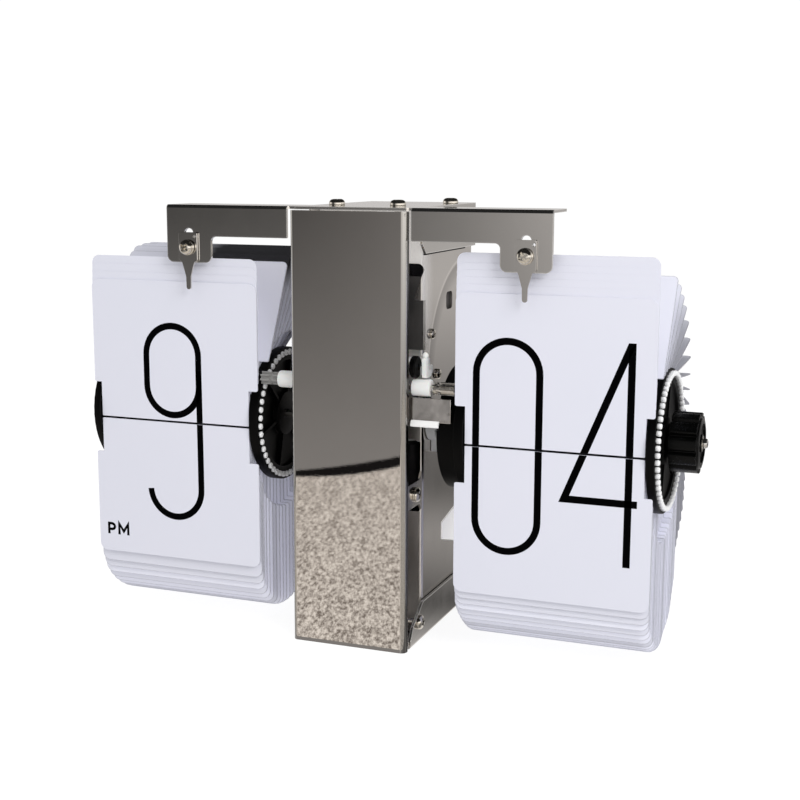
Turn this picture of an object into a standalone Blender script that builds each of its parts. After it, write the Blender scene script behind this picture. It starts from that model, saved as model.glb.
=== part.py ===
"""Flip number clock: polished sheet-steel T frame, hour wheel on the left, minute wheel on the right.

Frame: X to the viewer's right, -Y to the front, +Z up, origin in the middle of the base tray's
underside. Dimensions are in millimetres, with Y counted from the front face of the column's cover.
finish() moves them to the origin and turns them into metres.

Outlines are lists of points in the plane across an axis: (y, z) for axis X, (x, z) for axis Y
and (x, y) for axis Z. The corners given to rounded() have the corner radius as a third value.
"""

import math

import bmesh
import bpy

MM = 0.001
GAP = 0.3  # clearance between pieces that rest on each other
SIDES = ((-1, "left"), (1, "right"))
WHEEL_SIDES = ((1, "minute"), (-1, "hour"))

# Column
HEIGHT = 140.0
DEPTH = 66.0
SHEET = 0.9
COLUMN_HALF = 18.9
COVER_TOP = 138.8
COVER_FLANGE = 3.5
SIDE_OUT = 19.3  # outer face of the side flanges of the base tray and the top bracket

# Base tray
BASE_MID = 35.0  # middle of the base, behind the cover's front face
BASE_HEIGHT = 12.7
BASE_FRONT = 4.3
BASE_SCREW = (11.2, 7.2)
COVER_SCREW = (9.6, 49.6)

# Top bracket and its arms
ARM_HALF = 64.0
ARM_FRONT = 1.0
ARM_DEPTH = 16.3
ARM_INNER = 20.8
FLANGE_Z = 130.0
SIDE_FLANGE_Z = 125.4
TAB_Z = 121.6
TAB_IN = 48.0
CATCH_X = 56.0
CATCH_Z = 126.5
SCREW_HOLE_R = 1.35
TOP_SCREWS = (  # name, (x, y)
    ("top_screw_front_left", (-12.9, 21.0)),
    ("top_screw_front_right", (8.0, 21.0)),
    ("top_screw_rear", (15.0, 50.5)),
)

# Chassis
CHASSIS_HALF = 18.0
CHASSIS_FRONT = 16.0
CHASSIS_T = 0.8
CHASSIS_TOP = 138.6
MOVEMENT_SCREWS = (("upper", (22.6, 99.2)), ("lower", (28.6, 85.4)))  # name, (y, z)

# Wheels. Disc faces are distances from the column's middle: nearer face, farther face.
WHEEL_Y = 24.9
WHEEL_Z = 70.0
WHEEL = (WHEEL_Y, WHEEL_Z)
PIN_R = 20.7
DISC_R = 22.4
DISC_IN = (33.3, 36.5)
DISC_OUT = (92.6, 95.2)
HUB_R = 8.0
SHAFT_R = 1.5
SHAFT_GROOVE = (12.9, 13.7)
CARRY_R = 20.0
CARRY_TIP = 21.7
CARRY_SPAN = (27.2, DISC_IN[0] - GAP)
BORE_SIDES = 20

# Transfer shaft between the two wheels
TRANSFER = (6.0, 84.8)
TRANSFER_R = 0.9
TRANSFER_TEETH = 8

# Drive gears
MODULE = 0.5
GEAR_TEETH = 24
PINION_TEETH = 12
DRIVE_SPAN = (14.2, 16.4)
DRIVE_TOOTH = (0.3, 0.55)  # height above and depth below the pitch circle
PINION = (WHEEL_Y, WHEEL_Z + (GEAR_TEETH + PINION_TEETH) * MODULE / 2 + 0.75)
PINION_STEM_R = 1.0

# Battery cell
CELL_R = 16.6
CELL_Y = 38.0
CELL_BOTTOM = 4.6
CELL_TOP = 64.2

# Cards
CARD_IN = 33.6
CARD_OUT = 94.9
NOTCH_IN = 36.9
NOTCH_OUT = 92.3
NOTCH = 11.6  # length of the narrow part next to the hinge
CARD_Y = 3.5
CARD_T = 0.5
CARD_LEN = 46.4
HINGE = (64.2, 3.3, 68.4)  # the top card's origin, with x for the minute side
PIN_TO_TIP = 46.0
FRONT_PIN = -1.5  # angle of the front card's pin up from the front of the wheel
PACK_STEP = 7.5  # angle between the outline points of the rear and hanging packs
CARD_WHEELS = (  # side, name, angle between cards, angle of the last standing card's pin
    (1, "minute", 6.0, 28.5),
    (-1, "hour", 7.5, 21.0),
)
LEAN = (  # pin angle up from the front of the wheel, backward lean of its card
    (28.0, 2.3), (34.5, 33.0), (46.5, 54.0), (58.5, 68.0), (70.5, 86.0),
    (82.5, 104.0), (100.0, 124.0), (130.0, 152.0), (160.0, 172.0), (180.0, 180.0),
)

for old in list(bpy.data.objects):
    bpy.data.objects.remove(old, do_unlink=True)


# ---------------------------------------------------------------- materials


def material(name, color, metallic, roughness):
    mat = bpy.data.materials.new(name)
    mat.use_nodes = True
    shader = mat.node_tree.nodes["Principled BSDF"]
    shader.inputs["Base Color"].default_value = (*color, 1.0)
    shader.inputs["Metallic"].default_value = metallic
    shader.inputs["Roughness"].default_value = roughness
    return mat


STEEL = material("polished_steel", color=(0.62, 0.60, 0.57), metallic=1.0, roughness=0.06)
SCREW = material("screw_steel", color=(0.66, 0.63, 0.58), metallic=1.0, roughness=0.2)
CARD = material("card_plastic", color=(0.80, 0.80, 0.86), metallic=0.0, roughness=0.45)
BLACK = material("black_plastic", color=(0.012, 0.012, 0.014), metallic=0.0, roughness=0.35)
WHITE = material("white_acetal", color=(0.85, 0.85, 0.83), metallic=0.0, roughness=0.4)
GREY = material("grey_acetal", color=(0.35, 0.35, 0.34), metallic=0.0, roughness=0.45)
BRASS = material("brass", color=(0.75, 0.55, 0.25), metallic=1.0, roughness=0.3)
JACKET = material("cell_jacket", color=(0.03, 0.03, 0.035), metallic=0.6, roughness=0.35)


# ---------------------------------------------------------------- outlines


def mirrored(side, low, high):
    """Span between two distances from the middle, on the side given as -1 or 1."""
    return tuple(sorted((side * low, side * high)))


def around(center, radius, angle):
    return center[0] + radius * math.cos(angle), center[1] + radius * math.sin(angle)


def circle(center, radius, count):
    return [around(center, radius, 2 * math.pi * k / count) for k in range(count)]


def unit(x, y):
    length = math.hypot(x, y)
    return x / length, y / length


def rounded(corners, steps=3):
    """Polygon with arcs of the given number of steps at its corners."""
    points = []
    for i, (x, y, radius) in enumerate(corners):
        if radius <= 0:
            points.append((x, y))
            continue
        before, after = corners[i - 1], corners[(i + 1) % len(corners)]
        back_x, back_y = unit(before[0] - x, before[1] - y)
        on_x, on_y = unit(after[0] - x, after[1] - y)
        half = math.acos(max(-1.0, min(1.0, back_x * on_x + back_y * on_y))) / 2
        reach = radius / math.tan(half)
        mid_x, mid_y = unit(back_x + on_x, back_y + on_y)
        center_x = x + mid_x * radius / math.sin(half)
        center_y = y + mid_y * radius / math.sin(half)
        start = math.atan2(y + back_y * reach - center_y, x + back_x * reach - center_x)
        end = math.atan2(y + on_y * reach - center_y, x + on_x * reach - center_x)
        turn = (end - start + math.pi) % (2 * math.pi) - math.pi
        for k in range(steps + 1):
            points.append(around((center_x, center_y), radius, start + turn * k / steps))
    return points


def rectangle(x, y, radius=0, steps=2):
    corners = ((x[0], y[0]), (x[1], y[0]), (x[1], y[1]), (x[0], y[1]))
    return rounded([(*corner, radius) for corner in corners], steps)


def channel(half, fold, edge, sheet, outer_r, inner_r, steps=3):
    """U section of folded sheet: web at fold, flanges that run from it to edge."""
    inside = half - sheet
    return rounded(
        [
            (half, edge, 0),
            (half, fold, outer_r),
            (-half, fold, outer_r),
            (-half, edge, 0),
            (-inside, edge, 0),
            (-inside, fold + sheet, inner_r),
            (inside, fold + sheet, inner_r),
            (inside, edge, 0),
        ],
        steps,
    )


def bore(radius, count):
    """Corner radius of a faceted bore that clears a shaft of this radius by 0.05 mm."""
    return (radius + 0.05) / math.cos(math.pi / count)


WHEEL_BORE = bore(SHAFT_R, BORE_SIDES)


# ---------------------------------------------------------------- solids


def place(axis, point, along):
    first, second = point
    return {
        "X": (along, first, second),
        "Y": (first, along, second),
        "Z": (first, second, along),
    }[axis]


def finish(name, data, mat, origin):
    bmesh.ops.recalc_face_normals(data, faces=data.faces)
    for vert in data.verts:
        for i in range(3):
            vert.co[i] = (vert.co[i] - origin[i]) * MM
    mesh = bpy.data.meshes.new(name)
    data.to_mesh(mesh)
    data.free()
    obj = bpy.data.objects.new(name, mesh)
    obj.location = (origin[0] * MM, (origin[1] - BASE_MID) * MM, origin[2] * MM)
    bpy.context.scene.collection.objects.link(obj)
    mesh.materials.append(mat)
    mesh.shade_smooth()
    mesh.set_sharp_from_angle(angle=math.radians(35))
    return obj


def prism(name, axis, outline, span, mat=STEEL, origin=(0, 0, 0)):
    """Outline extruded along the axis over a (low, high) span."""
    data = bmesh.new()
    bottom, top = ([data.verts.new(place(axis, p, along)) for p in outline] for along in span)
    data.faces.new(bottom)
    data.faces.new(list(reversed(top)))
    for i in range(len(outline)):
        j = (i + 1) % len(outline)
        data.faces.new((bottom[i], top[i], top[j], bottom[j]))
    return finish(name, data, mat, origin)


def box(name, x, y, z):
    return prism(name, "Z", rectangle(x, y), z)


def turned(name, axis, profile, center, count, mat=STEEL, origin=(0, 0, 0)):
    """Profile of (position along the axis, radius) turned about center.

    A profile that has a radius at both ends closes on itself as a ring.
    """
    data = bmesh.new()
    rings = []
    for along, radius in profile:
        points = circle(center, radius, count) if radius > 0 else [center]
        rings.append([data.verts.new(place(axis, point, along)) for point in points])
    pairs = list(zip(rings, rings[1:]))
    if profile[0][1] > 0 and profile[-1][1] > 0:
        pairs.append((rings[-1], rings[0]))
    for first, second in pairs:
        for k in range(count):
            j = (k + 1) % count
            if len(first) == 1:
                data.faces.new((first[0], second[k], second[j]))
            elif len(second) == 1:
                data.faces.new((first[k], first[j], second[0]))
            else:
                data.faces.new((first[k], first[j], second[j], second[k]))
    return finish(name, data, mat, origin)


def tube(name, span, inner, outer, center, mat, origin=(0, 0, 0)):
    low, high = span
    profile = [(low, inner), (low, outer), (high, outer), (high, inner)]
    return turned(name, "X", profile, center, BORE_SIDES, mat, origin)


def boolean(target, tools, operation):
    for tool in tools:
        tool.hide_render = True
        tool.display_type = "WIRE"
        modifier = target.modifiers.new(operation.lower(), "BOOLEAN")
        modifier.operation = operation
        modifier.object = tool
        modifier.solver = "EXACT"


def cut(target, *tools):
    boolean(target, tools, "DIFFERENCE")


def join(target, *tools):
    boolean(target, tools, "UNION")


def screw(name, axis, center, seat, direction, head, shank, count, washer_r=None):
    """Pan-head cross-recess screw. head and shank are (radius, length).

    seat is the position along the axis under the head, and direction the way the head points.
    """
    head_r, head_h = head
    shank_r, shank_len = shank
    end = seat - direction * shank_len
    profile = [(end, 0), (end, shank_r), (seat, shank_r)]
    base = seat
    if washer_r:
        base += direction * 0.5
        profile += [(seat, washer_r), (seat + direction * 0.45, washer_r)]
    profile += [(base, head_r)]
    # Head: share of its height, share of its radius.
    for rise, share in ((0.45, 1.0), (0.8, 0.8), (1.0, 0.35), (1.0, 0.0)):
        profile.append((base + direction * head_h * rise, head_r * share))
    made = turned(name, axis, profile, center, count, SCREW)

    width, reach = head_r * 0.13, head_r * 0.62
    cross = [
        (width, reach), (-width, reach), (-width, width),
        (-reach, width), (-reach, -width), (-width, -width),
        (-width, -reach), (width, -reach), (width, -width),
        (reach, -width), (reach, width), (width, width),
    ]
    cos, sin = math.cos(math.radians(35)), math.sin(math.radians(35))
    cross = [(center[0] + x * cos - y * sin, center[1] + x * sin + y * cos) for x, y in cross]
    depth = sorted((base + direction * head_h * 0.35, base + direction * (head_h + 1)))
    cut(made, prism("tool_cross_" + name, axis, cross, depth))


def shaft(name, span, radius, center, groove=None):
    """Shaft with chamfered ends and an optional ring groove over a (low, high) span."""
    low, high = span
    chamfer, groove_depth = 0.3, 0.4
    profile = [(low, 0), (low, radius - chamfer), (low + chamfer, radius)]
    if groove:
        start, end = groove
        bottom = radius - groove_depth
        profile += [(start, radius), (start, bottom), (end, bottom), (end, radius)]
    profile += [(high - chamfer, radius), (high, radius - chamfer), (high, 0)]
    turned(name, "X", profile, center, 16, SCREW, origin=((low + high) / 2, *center))


def gear(name, teeth, pitch_r, tooth, span, center, mat, shaft_r=None, phase=0.0):
    """Straight gear with trapezoid teeth. tooth is (above, below) the pitch circle."""
    crest, root = pitch_r + tooth[0], pitch_r - tooth[1]
    outline = []
    for k in range(teeth):
        for part, radius in ((-0.27, root), (-0.13, crest), (0.13, crest), (0.27, root)):
            angle = 2 * math.pi * (k + part) / teeth + phase
            outline.append(around(center, radius, angle))
    made = prism(name, "X", outline, span, mat)
    if shaft_r:
        hole = circle(center, bore(shaft_r, 16), 16)
        cut(made, prism("tool_bore_" + name, "X", hole, (span[0] - 1, span[1] + 1)))
    return made


# ---------------------------------------------------------------- column


def build_cover():
    """Front of the column, with a lip folded back at its top."""
    section = channel(COLUMN_HALF, 0, COVER_FLANGE, SHEET, outer_r=1.3, inner_r=0.5, steps=4)
    cover = prism("front_cover", "Z", section, (0.0, COVER_TOP))
    lip = [
        (0.35, COVER_TOP - 1.3),
        (0.35, COVER_TOP - 0.45),
        (0.8, COVER_TOP),
        (COVER_FLANGE, COVER_TOP),
        (COVER_FLANGE, COVER_TOP - SHEET),
        (1.6, COVER_TOP - SHEET),
        (1.6, COVER_TOP - 1.3),
    ]
    join(cover, prism("tool_cover_top", "X", lip, (-COLUMN_HALF + 0.5, COLUMN_HALF - 0.5)))


def build_tray():
    """Base tray: floor and two side flanges that slope down at the front."""
    section = channel(SIDE_OUT, 0, BASE_HEIGHT, SHEET, outer_r=1.2, inner_r=0.4)
    tray = prism("base_tray", "Y", section, (BASE_FRONT, DEPTH))
    nose = rounded(
        [
            (BASE_FRONT - 1, -1, 0),
            (BASE_FRONT - 1, BASE_HEIGHT + 1, 0),
            (CHASSIS_FRONT + 1.5, BASE_HEIGHT + 1, 0),
            (BASE_FRONT + 2.2, 6.6, 2.5),
            (BASE_FRONT, 3.0, 2.0),
            (BASE_FRONT, -1, 0),
        ]
    )
    cut(tray, prism("tool_nose", "X", nose, (-SIDE_OUT - 2, SIDE_OUT + 2)))
    for side, _ in SIDES:
        # The spans run outward from the middle, so the left one is from high to low.
        hole_span = (side * 17.0, side * 21.0)
        cut(tray, prism(f"tool_base_hole_{side}", "X", circle(BASE_SCREW, 1.5, 12), hole_span))


def build_chassis():
    """Front wall and two side plates folded from one sheet, open at the back."""
    section = channel(
        CHASSIS_HALF, CHASSIS_FRONT, DEPTH - 0.6, CHASSIS_T, outer_r=1.1, inner_r=0.3
    )
    chassis = prism("chassis", "Z", section, (SHEET + GAP, CHASSIS_TOP))
    window_half = 16.9
    window_top = rounded(
        [
            (-window_half, 96.0, 1),
            (window_half, 96.0, 1),
            (window_half, 111.8, 0),
            (15.0, 112.0, 0),
            (window_half, 120.4, 0),
            (window_half, 123.4, 2.0),
            (-window_half, 123.4, 2.0),
        ],
        2,
    )
    window_low = rectangle((-window_half, window_half), (42.0, 65.6), radius=1)
    side_window = [
        (36.4, 27.8), (36.4, 34.2), (47.5, 36.4), (58.0, 38.5), (58.0, 21.7), (47.5, 24.7),
    ]
    slot = rectangle((39.6, 45.8), (105.6, 111.4), radius=1.5)
    front = (CHASSIS_FRONT - 1, CHASSIS_FRONT + 2)
    both_sides = (-20, 20)
    cut(
        chassis,
        prism("tool_window_top", "Y", window_top, front),
        prism("tool_window_low", "Y", window_low, front),
        prism("tool_side_window", "X", side_window, both_sides),
        prism("tool_slot", "X", slot, both_sides),
        prism("tool_shaft_holes", "X", circle(WHEEL, 4.0, 24), both_sides),
    )
    for index, (_, center) in enumerate(MOVEMENT_SCREWS):
        hole = circle(center, 1.25, 10)
        cut(chassis, prism(f"tool_movement_hole_{index}", "X", hole, (15, 20)))


def build_bracket():
    """Top bracket: T plate, a front flange with a tab on each arm, side flanges on the column."""
    plate = [
        (-ARM_HALF, ARM_DEPTH),
        (-ARM_HALF, 2.2),
        (ARM_HALF, 2.2),
        (ARM_HALF, ARM_DEPTH),
        (SIDE_OUT, ARM_DEPTH),
        (SIDE_OUT, DEPTH),
        (-SIDE_OUT, DEPTH),
        (-SIDE_OUT, ARM_DEPTH),
    ]
    underside = HEIGHT - SHEET
    flange_back = ARM_FRONT + SHEET
    nose_half = ARM_INNER - 2.3
    bracket = prism("top_bracket", "Z", plate, (underside, HEIGHT))
    nose_x, nose_y = (-nose_half, nose_half), (ARM_FRONT, 3.0)
    join(bracket, box("tool_plate_nose", nose_x, nose_y, (underside, HEIGHT)))
    bend = rounded(
        [
            (ARM_FRONT, FLANGE_Z + 0.1, 0),
            (ARM_FRONT, HEIGHT, 1.2),
            (2.9, HEIGHT, 0),
            (2.9, underside, 0),
            (flange_back, underside, 0.3),
            (flange_back, FLANGE_Z + 0.1, 0),
        ],
        4,
    )
    side_flange = [
        (16.6, HEIGHT - 0.2),
        (DEPTH, HEIGHT - 0.2),
        (DEPTH, SIDE_FLANGE_Z),
        (16.6, SIDE_FLANGE_Z),
        (13.4, 128.5),
        (13.4, HEIGHT - 0.2),
    ]
    for side, _ in SIDES:
        flange = rounded(
            [
                (side * ARM_INNER, FLANGE_Z, 0.5),
                (side * ARM_INNER, 133.0, 0),
                (side * ARM_HALF, 133.0, 0),
                (side * ARM_HALF, TAB_Z, 2.2),
                (side * TAB_IN, TAB_Z, 2.2),
                (side * TAB_IN, FLANGE_Z, 1.6),
            ],
            4,
        )
        side_span = mirrored(side, SIDE_OUT - SHEET, SIDE_OUT)
        join(
            bracket,
            prism(f"tool_bend_{side}", "X", bend, mirrored(side, ARM_INNER, ARM_HALF)),
            prism(f"tool_flange_{side}", "Y", flange, (ARM_FRONT, flange_back)),
            prism(f"tool_side_flange_{side}", "X", side_flange, side_span),
        )
        slot_x = (side * CATCH_X - 1.7, side * CATCH_X + 1.7)
        slot = rectangle(slot_x, (124.6, 132.8), radius=1.6, steps=3)
        slot_span = (ARM_FRONT - 1, ARM_FRONT + 2)
        cut(bracket, prism(f"tool_catch_slot_{side}", "Y", slot, slot_span))
    for name, center in TOP_SCREWS:
        hole = circle(center, SCREW_HOLE_R, 12)
        cut(bracket, prism("tool_hole_" + name, "Z", hole, (HEIGHT - 3, HEIGHT + 2)))


# ---------------------------------------------------------------- catch fingers and screws

FINGER_EDGE = (  # half width, z, corner radius, from the top down to the tip
    (4.3, 130.8, 0.4),
    (4.3, 122.3, 0.4),
    (2.2, 121.7, 0.8),
    (0.9, 117.2, 0.5),
    (0.8, 113.0, 0.7),
)


def build_catches():
    """Sheet finger on the front of each arm's tab, with its screw and washer."""
    for side, label in ((-1, "hour"), (1, "minute")):
        x = side * CATCH_X
        outline = [(x + half, z, radius) for half, z, radius in FINGER_EDGE]
        outline += [(x - half, z, radius) for half, z, radius in reversed(FINGER_EDGE)]
        finger = prism(label + "_catch_finger", "Y", rounded(outline, 2), (0.1, 0.7))
        center = (x, CATCH_Z)
        screw_hole = circle(center, SCREW_HOLE_R, 16)
        pin_hole = circle((x + 3.4, 129.9), 0.45, 8)
        cut(
            finger,
            prism("tool_finger_hole_" + label, "Y", screw_hole, (-1, 2)),
            prism("tool_finger_pin_" + label, "Y", pin_hole, (-1, 2)),
        )
        screw(
            label + "_catch_screw", "Y", center, seat=-0.2, direction=-1,
            head=(3.0, 1.7), shank=(1.2, 4.6), count=16, washer_r=3.9,
        )


def build_frame_screws():
    for name, center in TOP_SCREWS:
        screw(
            name, "Z", center, seat=HEIGHT + GAP, direction=1,
            head=(2.4, 1.7), shank=(1.15, 5.0), count=12,
        )
    for side, label in SIDES:
        screw(
            "base_screw_" + label, "X", BASE_SCREW, seat=side * (SIDE_OUT + GAP),
            direction=side, head=(2.4, 1.5), shank=(1.15, 4.0), count=12,
        )
    for label, center in MOVEMENT_SCREWS:
        screw(
            "movement_screw_" + label, "X", center, seat=CHASSIS_HALF + GAP, direction=1,
            head=(1.7, 1.1), shank=(1.0, 3.0), count=10,
        )


def build_cover_clips():
    """Sheet clip on each side, between the cover and the chassis' front wall, with its screw."""
    outline = rounded(
        [
            (4.0, 45.6, 1),
            (4.0, 53.6, 1),
            (14.6, 53.6, 1),
            (15.6, 56.0, 0),
            (15.6, 43.2, 0),
            (14.6, 45.6, 1),
        ],
        2,
    )
    hole = circle(COVER_SCREW, SCREW_HOLE_R, 12)
    for side, label in SIDES:
        clip = prism("cover_clip_" + label, "X", outline, mirrored(side, 17.0, 17.8))
        cut(clip, prism("tool_clip_hole_" + label, "X", hole, mirrored(side, 16, 19)))
        screw(
            "cover_screw_" + label, "X", COVER_SCREW, seat=side * 18.1, direction=side,
            head=(2.4, 1.5), shank=(1.15, 4.0), count=12,
        )


# ---------------------------------------------------------------- wheels


def disc(name, flat, rim):
    """Wheel disc with its flat face at flat. Its rim and boss reach rim, around a thinner web."""
    direction = 1 if rim > flat else -1
    web = flat + direction * 1.5
    boss_r = 7.2
    profile = [
        (flat, WHEEL_BORE),
        (flat, DISC_R),
        (rim - direction * 0.4, DISC_R),
        (rim, DISC_R - 0.4),
        (rim, 18.2),
        (web, 17.8),
        (web, boss_r),
        (rim, boss_r),
        (rim, WHEEL_BORE),
    ]
    turned(name, "X", profile, WHEEL, 40, BLACK, origin=((flat + rim) / 2, *WHEEL))


def build_wheels():
    """Two discs on a hub on each side. Their flat faces look at each other."""
    for side, label in WHEEL_SIDES:
        disc(label + "_disc_inner", side * DISC_IN[1], side * DISC_IN[0])
        disc(label + "_disc_outer", side * DISC_OUT[0], side * DISC_OUT[1])
        span = mirrored(side, DISC_IN[1] + GAP, DISC_OUT[0] - GAP)
        origin = (sum(span) / 2, *WHEEL)
        tube(label + "_hub", span, WHEEL_BORE, HUB_R, WHEEL, BLACK, origin)


def build_wheel_shafts():
    """Wheel shafts and the C rings in their grooves, open to the back."""
    clip_r, clip_bore, half_opening = 2.9, SHAFT_R - 0.2, math.radians(35)
    steps = 12
    sweep = 2 * math.pi - 2 * half_opening
    arc = [half_opening + sweep * k / steps for k in range(steps + 1)]
    ring = [around(WHEEL, clip_r, angle) for angle in arc]
    ring += [around(WHEEL, clip_bore, angle) for angle in reversed(arc)]
    for (side, label), end in zip(WHEEL_SIDES, (107.1, 96.6)):
        groove = mirrored(side, *SHAFT_GROOVE)
        shaft(label + "_shaft", mirrored(side, 12.2, end), SHAFT_R, WHEEL, groove)
        middle = sum(groove) / 2
        prism(label + "_shaft_clip", "X", ring, (middle - 0.25, middle + 0.25), SCREW)


def build_carry_disc():
    """Smaller disc with two teeth that push the transfer pinion on twice in a turn."""
    carry = prism("minute_carry_disc", "X", circle(WHEEL, CARRY_R, 48), CARRY_SPAN, BLACK)
    tooth = (  # distance from the wheel's axis, offset to the side
        (CARRY_R - 2, -1.2), (CARRY_TIP - 1.5, -1.0), (CARRY_TIP, -0.4),
        (CARRY_TIP, 0.4), (CARRY_TIP - 1.5, 1.0), (CARRY_R - 2, 1.2),
    )
    for degrees in (82.5, 262.5):  # up from the front of the wheel
        cos, sin = math.cos(math.radians(degrees)), math.sin(math.radians(degrees))
        outline = [
            (WHEEL_Y - out * cos + offset * sin, WHEEL_Z + out * sin + offset * cos)
            for out, offset in tooth
        ]
        name = f"tool_tooth_{int(degrees)}"
        join(carry, prism(name, "X", outline, (32.4, CARRY_SPAN[1]), BLACK))
    hole = circle(WHEEL, WHEEL_BORE, BORE_SIDES)
    cut(carry, prism("tool_carry_bore", "X", hole, (25, 36)))


def build_set_knob():
    """Ribbed time-set knob near the end of the minute shaft."""
    ribs, crest, root = 11, 9.3, 8.2
    outline = []
    for k in range(ribs):
        for part, radius in ((0.0, crest), (0.52, crest), (0.62, root), (0.9, root)):
            outline.append(around(WHEEL, radius, 2 * math.pi * (k + part) / ribs))
    knob = prism("set_knob", "X", outline, (96.6, 104.8), BLACK)
    face = [(104.0, 0), (104.0, 7.6), (105.2, 7.6), (105.7, 6.8), (105.7, 0)]
    join(
        knob,
        prism("tool_knob_boss", "X", circle(WHEEL, 5.6, 24), (95.5, 97.5)),
        turned("tool_knob_face", "X", face, WHEEL, 32),
    )
    hole = circle(WHEEL, WHEEL_BORE, BORE_SIDES)
    cut(knob, prism("tool_knob_bore", "X", hole, (94, 108)))


def build_drive():
    """Gear on the minute shaft and the pinion above it, with its stem into the movement."""
    gear(
        "minute_gear", GEAR_TEETH, GEAR_TEETH * MODULE / 2, DRIVE_TOOTH, DRIVE_SPAN, WHEEL,
        WHITE, shaft_r=SHAFT_R + 0.03,
    )
    pinion = gear(
        "drive_pinion", PINION_TEETH, PINION_TEETH * MODULE / 2, DRIVE_TOOTH, DRIVE_SPAN,
        PINION, BRASS,
    )
    stem = [(8.6, 0), (8.6, PINION_STEM_R), (14.8, PINION_STEM_R), (14.8, 0)]
    join(pinion, turned("tool_pinion_stem", "X", stem, PINION, 16))


# ---------------------------------------------------------------- transfer shaft


def build_transfer():
    """Shaft in front of the column, with a pinion at each end and a bush inside each pinion."""
    shaft("transfer_shaft", (-32.7, 32.9), TRANSFER_R, TRANSFER)
    for label, span in (("right", (26.0, 33.0)), ("left", (-32.8, -26.9))):
        gear(
            "transfer_pinion_" + label, TRANSFER_TEETH, 1.8, (0.35, 0.35), span, TRANSFER,
            GREY, shaft_r=TRANSFER_R, phase=0.2,
        )
    bush_start = 19.3
    for side, label, length in ((1, "right", 6.4), (-1, "left", 7.3)):
        span = mirrored(side, bush_start, bush_start + length)
        inner = bore(TRANSFER_R, BORE_SIDES)
        tube("transfer_bush_" + label, span, inner, 2.7, TRANSFER, WHITE)


def build_transfer_bracket():
    """White bracket in front of the chassis. Its ears reach out past the column, over the bushes."""
    body = rounded([(9.3, 82.3, 0.6), (9.3, 96.0, 1.0), (15.6, 96.0, 0.6), (15.6, 82.3, 0.6)], 2)
    right, left = 23.2, 20.2
    carrier = prism("transfer_bracket", "X", body, (-left, right), WHITE)
    ear = rounded(
        [(4.2, 88.2, 0.8), (4.2, 93.2, 1.6), (8.0, 95.4, 1.0), (10.5, 95.4, 0), (10.5, 88.2, 0)],
        2,
    )
    for side, reach in ((1, right), (-1, left)):
        join(carrier, prism(f"tool_ear_{side}", "X", ear, mirrored(side, 18.4, reach)))
    window = rectangle((-15, 15), (84, 92.5), radius=1)
    cut(carrier, prism("tool_carrier_window", "Y", window, (8, 13.4)))


def build_transfer_guard():
    """Small L-shaped sheet guard under the right transfer pinion, outside the chassis."""
    section = rounded(
        [
            (18.4, 3.9, 0.8),
            (32.1, 3.9, 0),
            (32.1, 4.7, 0),
            (19.2, 4.7, 0.2),
            (19.2, 22.4, 0),
            (18.4, 22.4, 0),
        ]
    )
    guard = prism("transfer_guard", "Z", section, (74.9, 81.9))
    lip = [(2.9, 73.1), (2.9, 73.7), (3.9, 75.3), (4.7, 75.3), (4.7, 74.2), (3.6, 73.1)]
    join(guard, prism("tool_guard_lip", "X", lip, (19.3, 27.0)))


# ---------------------------------------------------------------- bearings

BEARING_R = 3.6
BEARING_COLLAR_R = 4.3
BEARING_PROFILES = {  # x, radius; the hour bearing has a collar at its outer end
    "minute": ((16.7, WHEEL_BORE), (16.7, BEARING_R), (26.4, BEARING_R), (26.4, WHEEL_BORE)),
    "hour": (
        (-27.4, WHEEL_BORE), (-27.4, BEARING_COLLAR_R), (-22.0, BEARING_COLLAR_R),
        (-22.0, BEARING_R), (-16.7, BEARING_R), (-16.7, WHEEL_BORE),
    ),
}


def build_bearings():
    """Wheel shaft bearings, each with a rectangular flange outside the chassis' side."""
    flange = rectangle((25.4, 34.0), (60.4, 76.2), radius=0.8)
    hole = circle(WHEEL, WHEEL_BORE, BORE_SIDES)
    for side, label in WHEEL_SIDES:
        profile = BEARING_PROFILES[label]
        bearing = turned(label + "_bearing", "X", profile, WHEEL, BORE_SIDES, WHITE)
        flange_span = mirrored(side, 18.35, 21.6)
        join(bearing, prism("tool_bearing_flange_" + label, "X", flange, flange_span))
        cut(bearing, prism("tool_bearing_bore_" + label, "X", hole, mirrored(side, 15, 28)))


# ---------------------------------------------------------------- movement and battery


def build_movement():
    """Movement case open to the right, its lid, and the board and coil in it."""
    outline = rounded([(21.5, 75.5, 2), (21.5, 118.0, 3), (58.0, 118.0, 3), (58.0, 75.5, 3)])
    hollow = rounded([(23.3, 77.3, 1), (23.3, 116.2, 2), (56.2, 116.2, 2), (56.2, 77.3, 2)], 2)
    case = prism("movement_case", "X", outline, (-11.0, 7.0), BLACK)
    cut(case, prism("tool_case_hollow", "X", hollow, (-9.2, 9.0)))

    lid = prism("movement_lid", "X", outline, (7.3, 9.6), BLACK)
    stem_hole = circle(PINION, bore(PINION_STEM_R, 16), 16)
    cut(lid, prism("tool_lid_bore", "X", stem_hole, (6, 12)))

    board = rectangle((40.5, 54.5), (79.0, 114.5), radius=0.5, steps=1)
    prism("circuit_board", "X", board, (-8.6, -7.4), GREY)

    coil = [  # z, radius
        (82.0, 0), (82.0, 1.6), (84.0, 1.6), (84.0, 4.4), (86.0, 4.4), (86.2, 4.0),
        (103.8, 4.0), (104.0, 4.4), (106.0, 4.4), (106.0, 1.6), (108.0, 1.6), (108.0, 0),
    ]
    turned("motor_coil", "Z", coil, (-1.5, 33.0), 20, BRASS)


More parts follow.
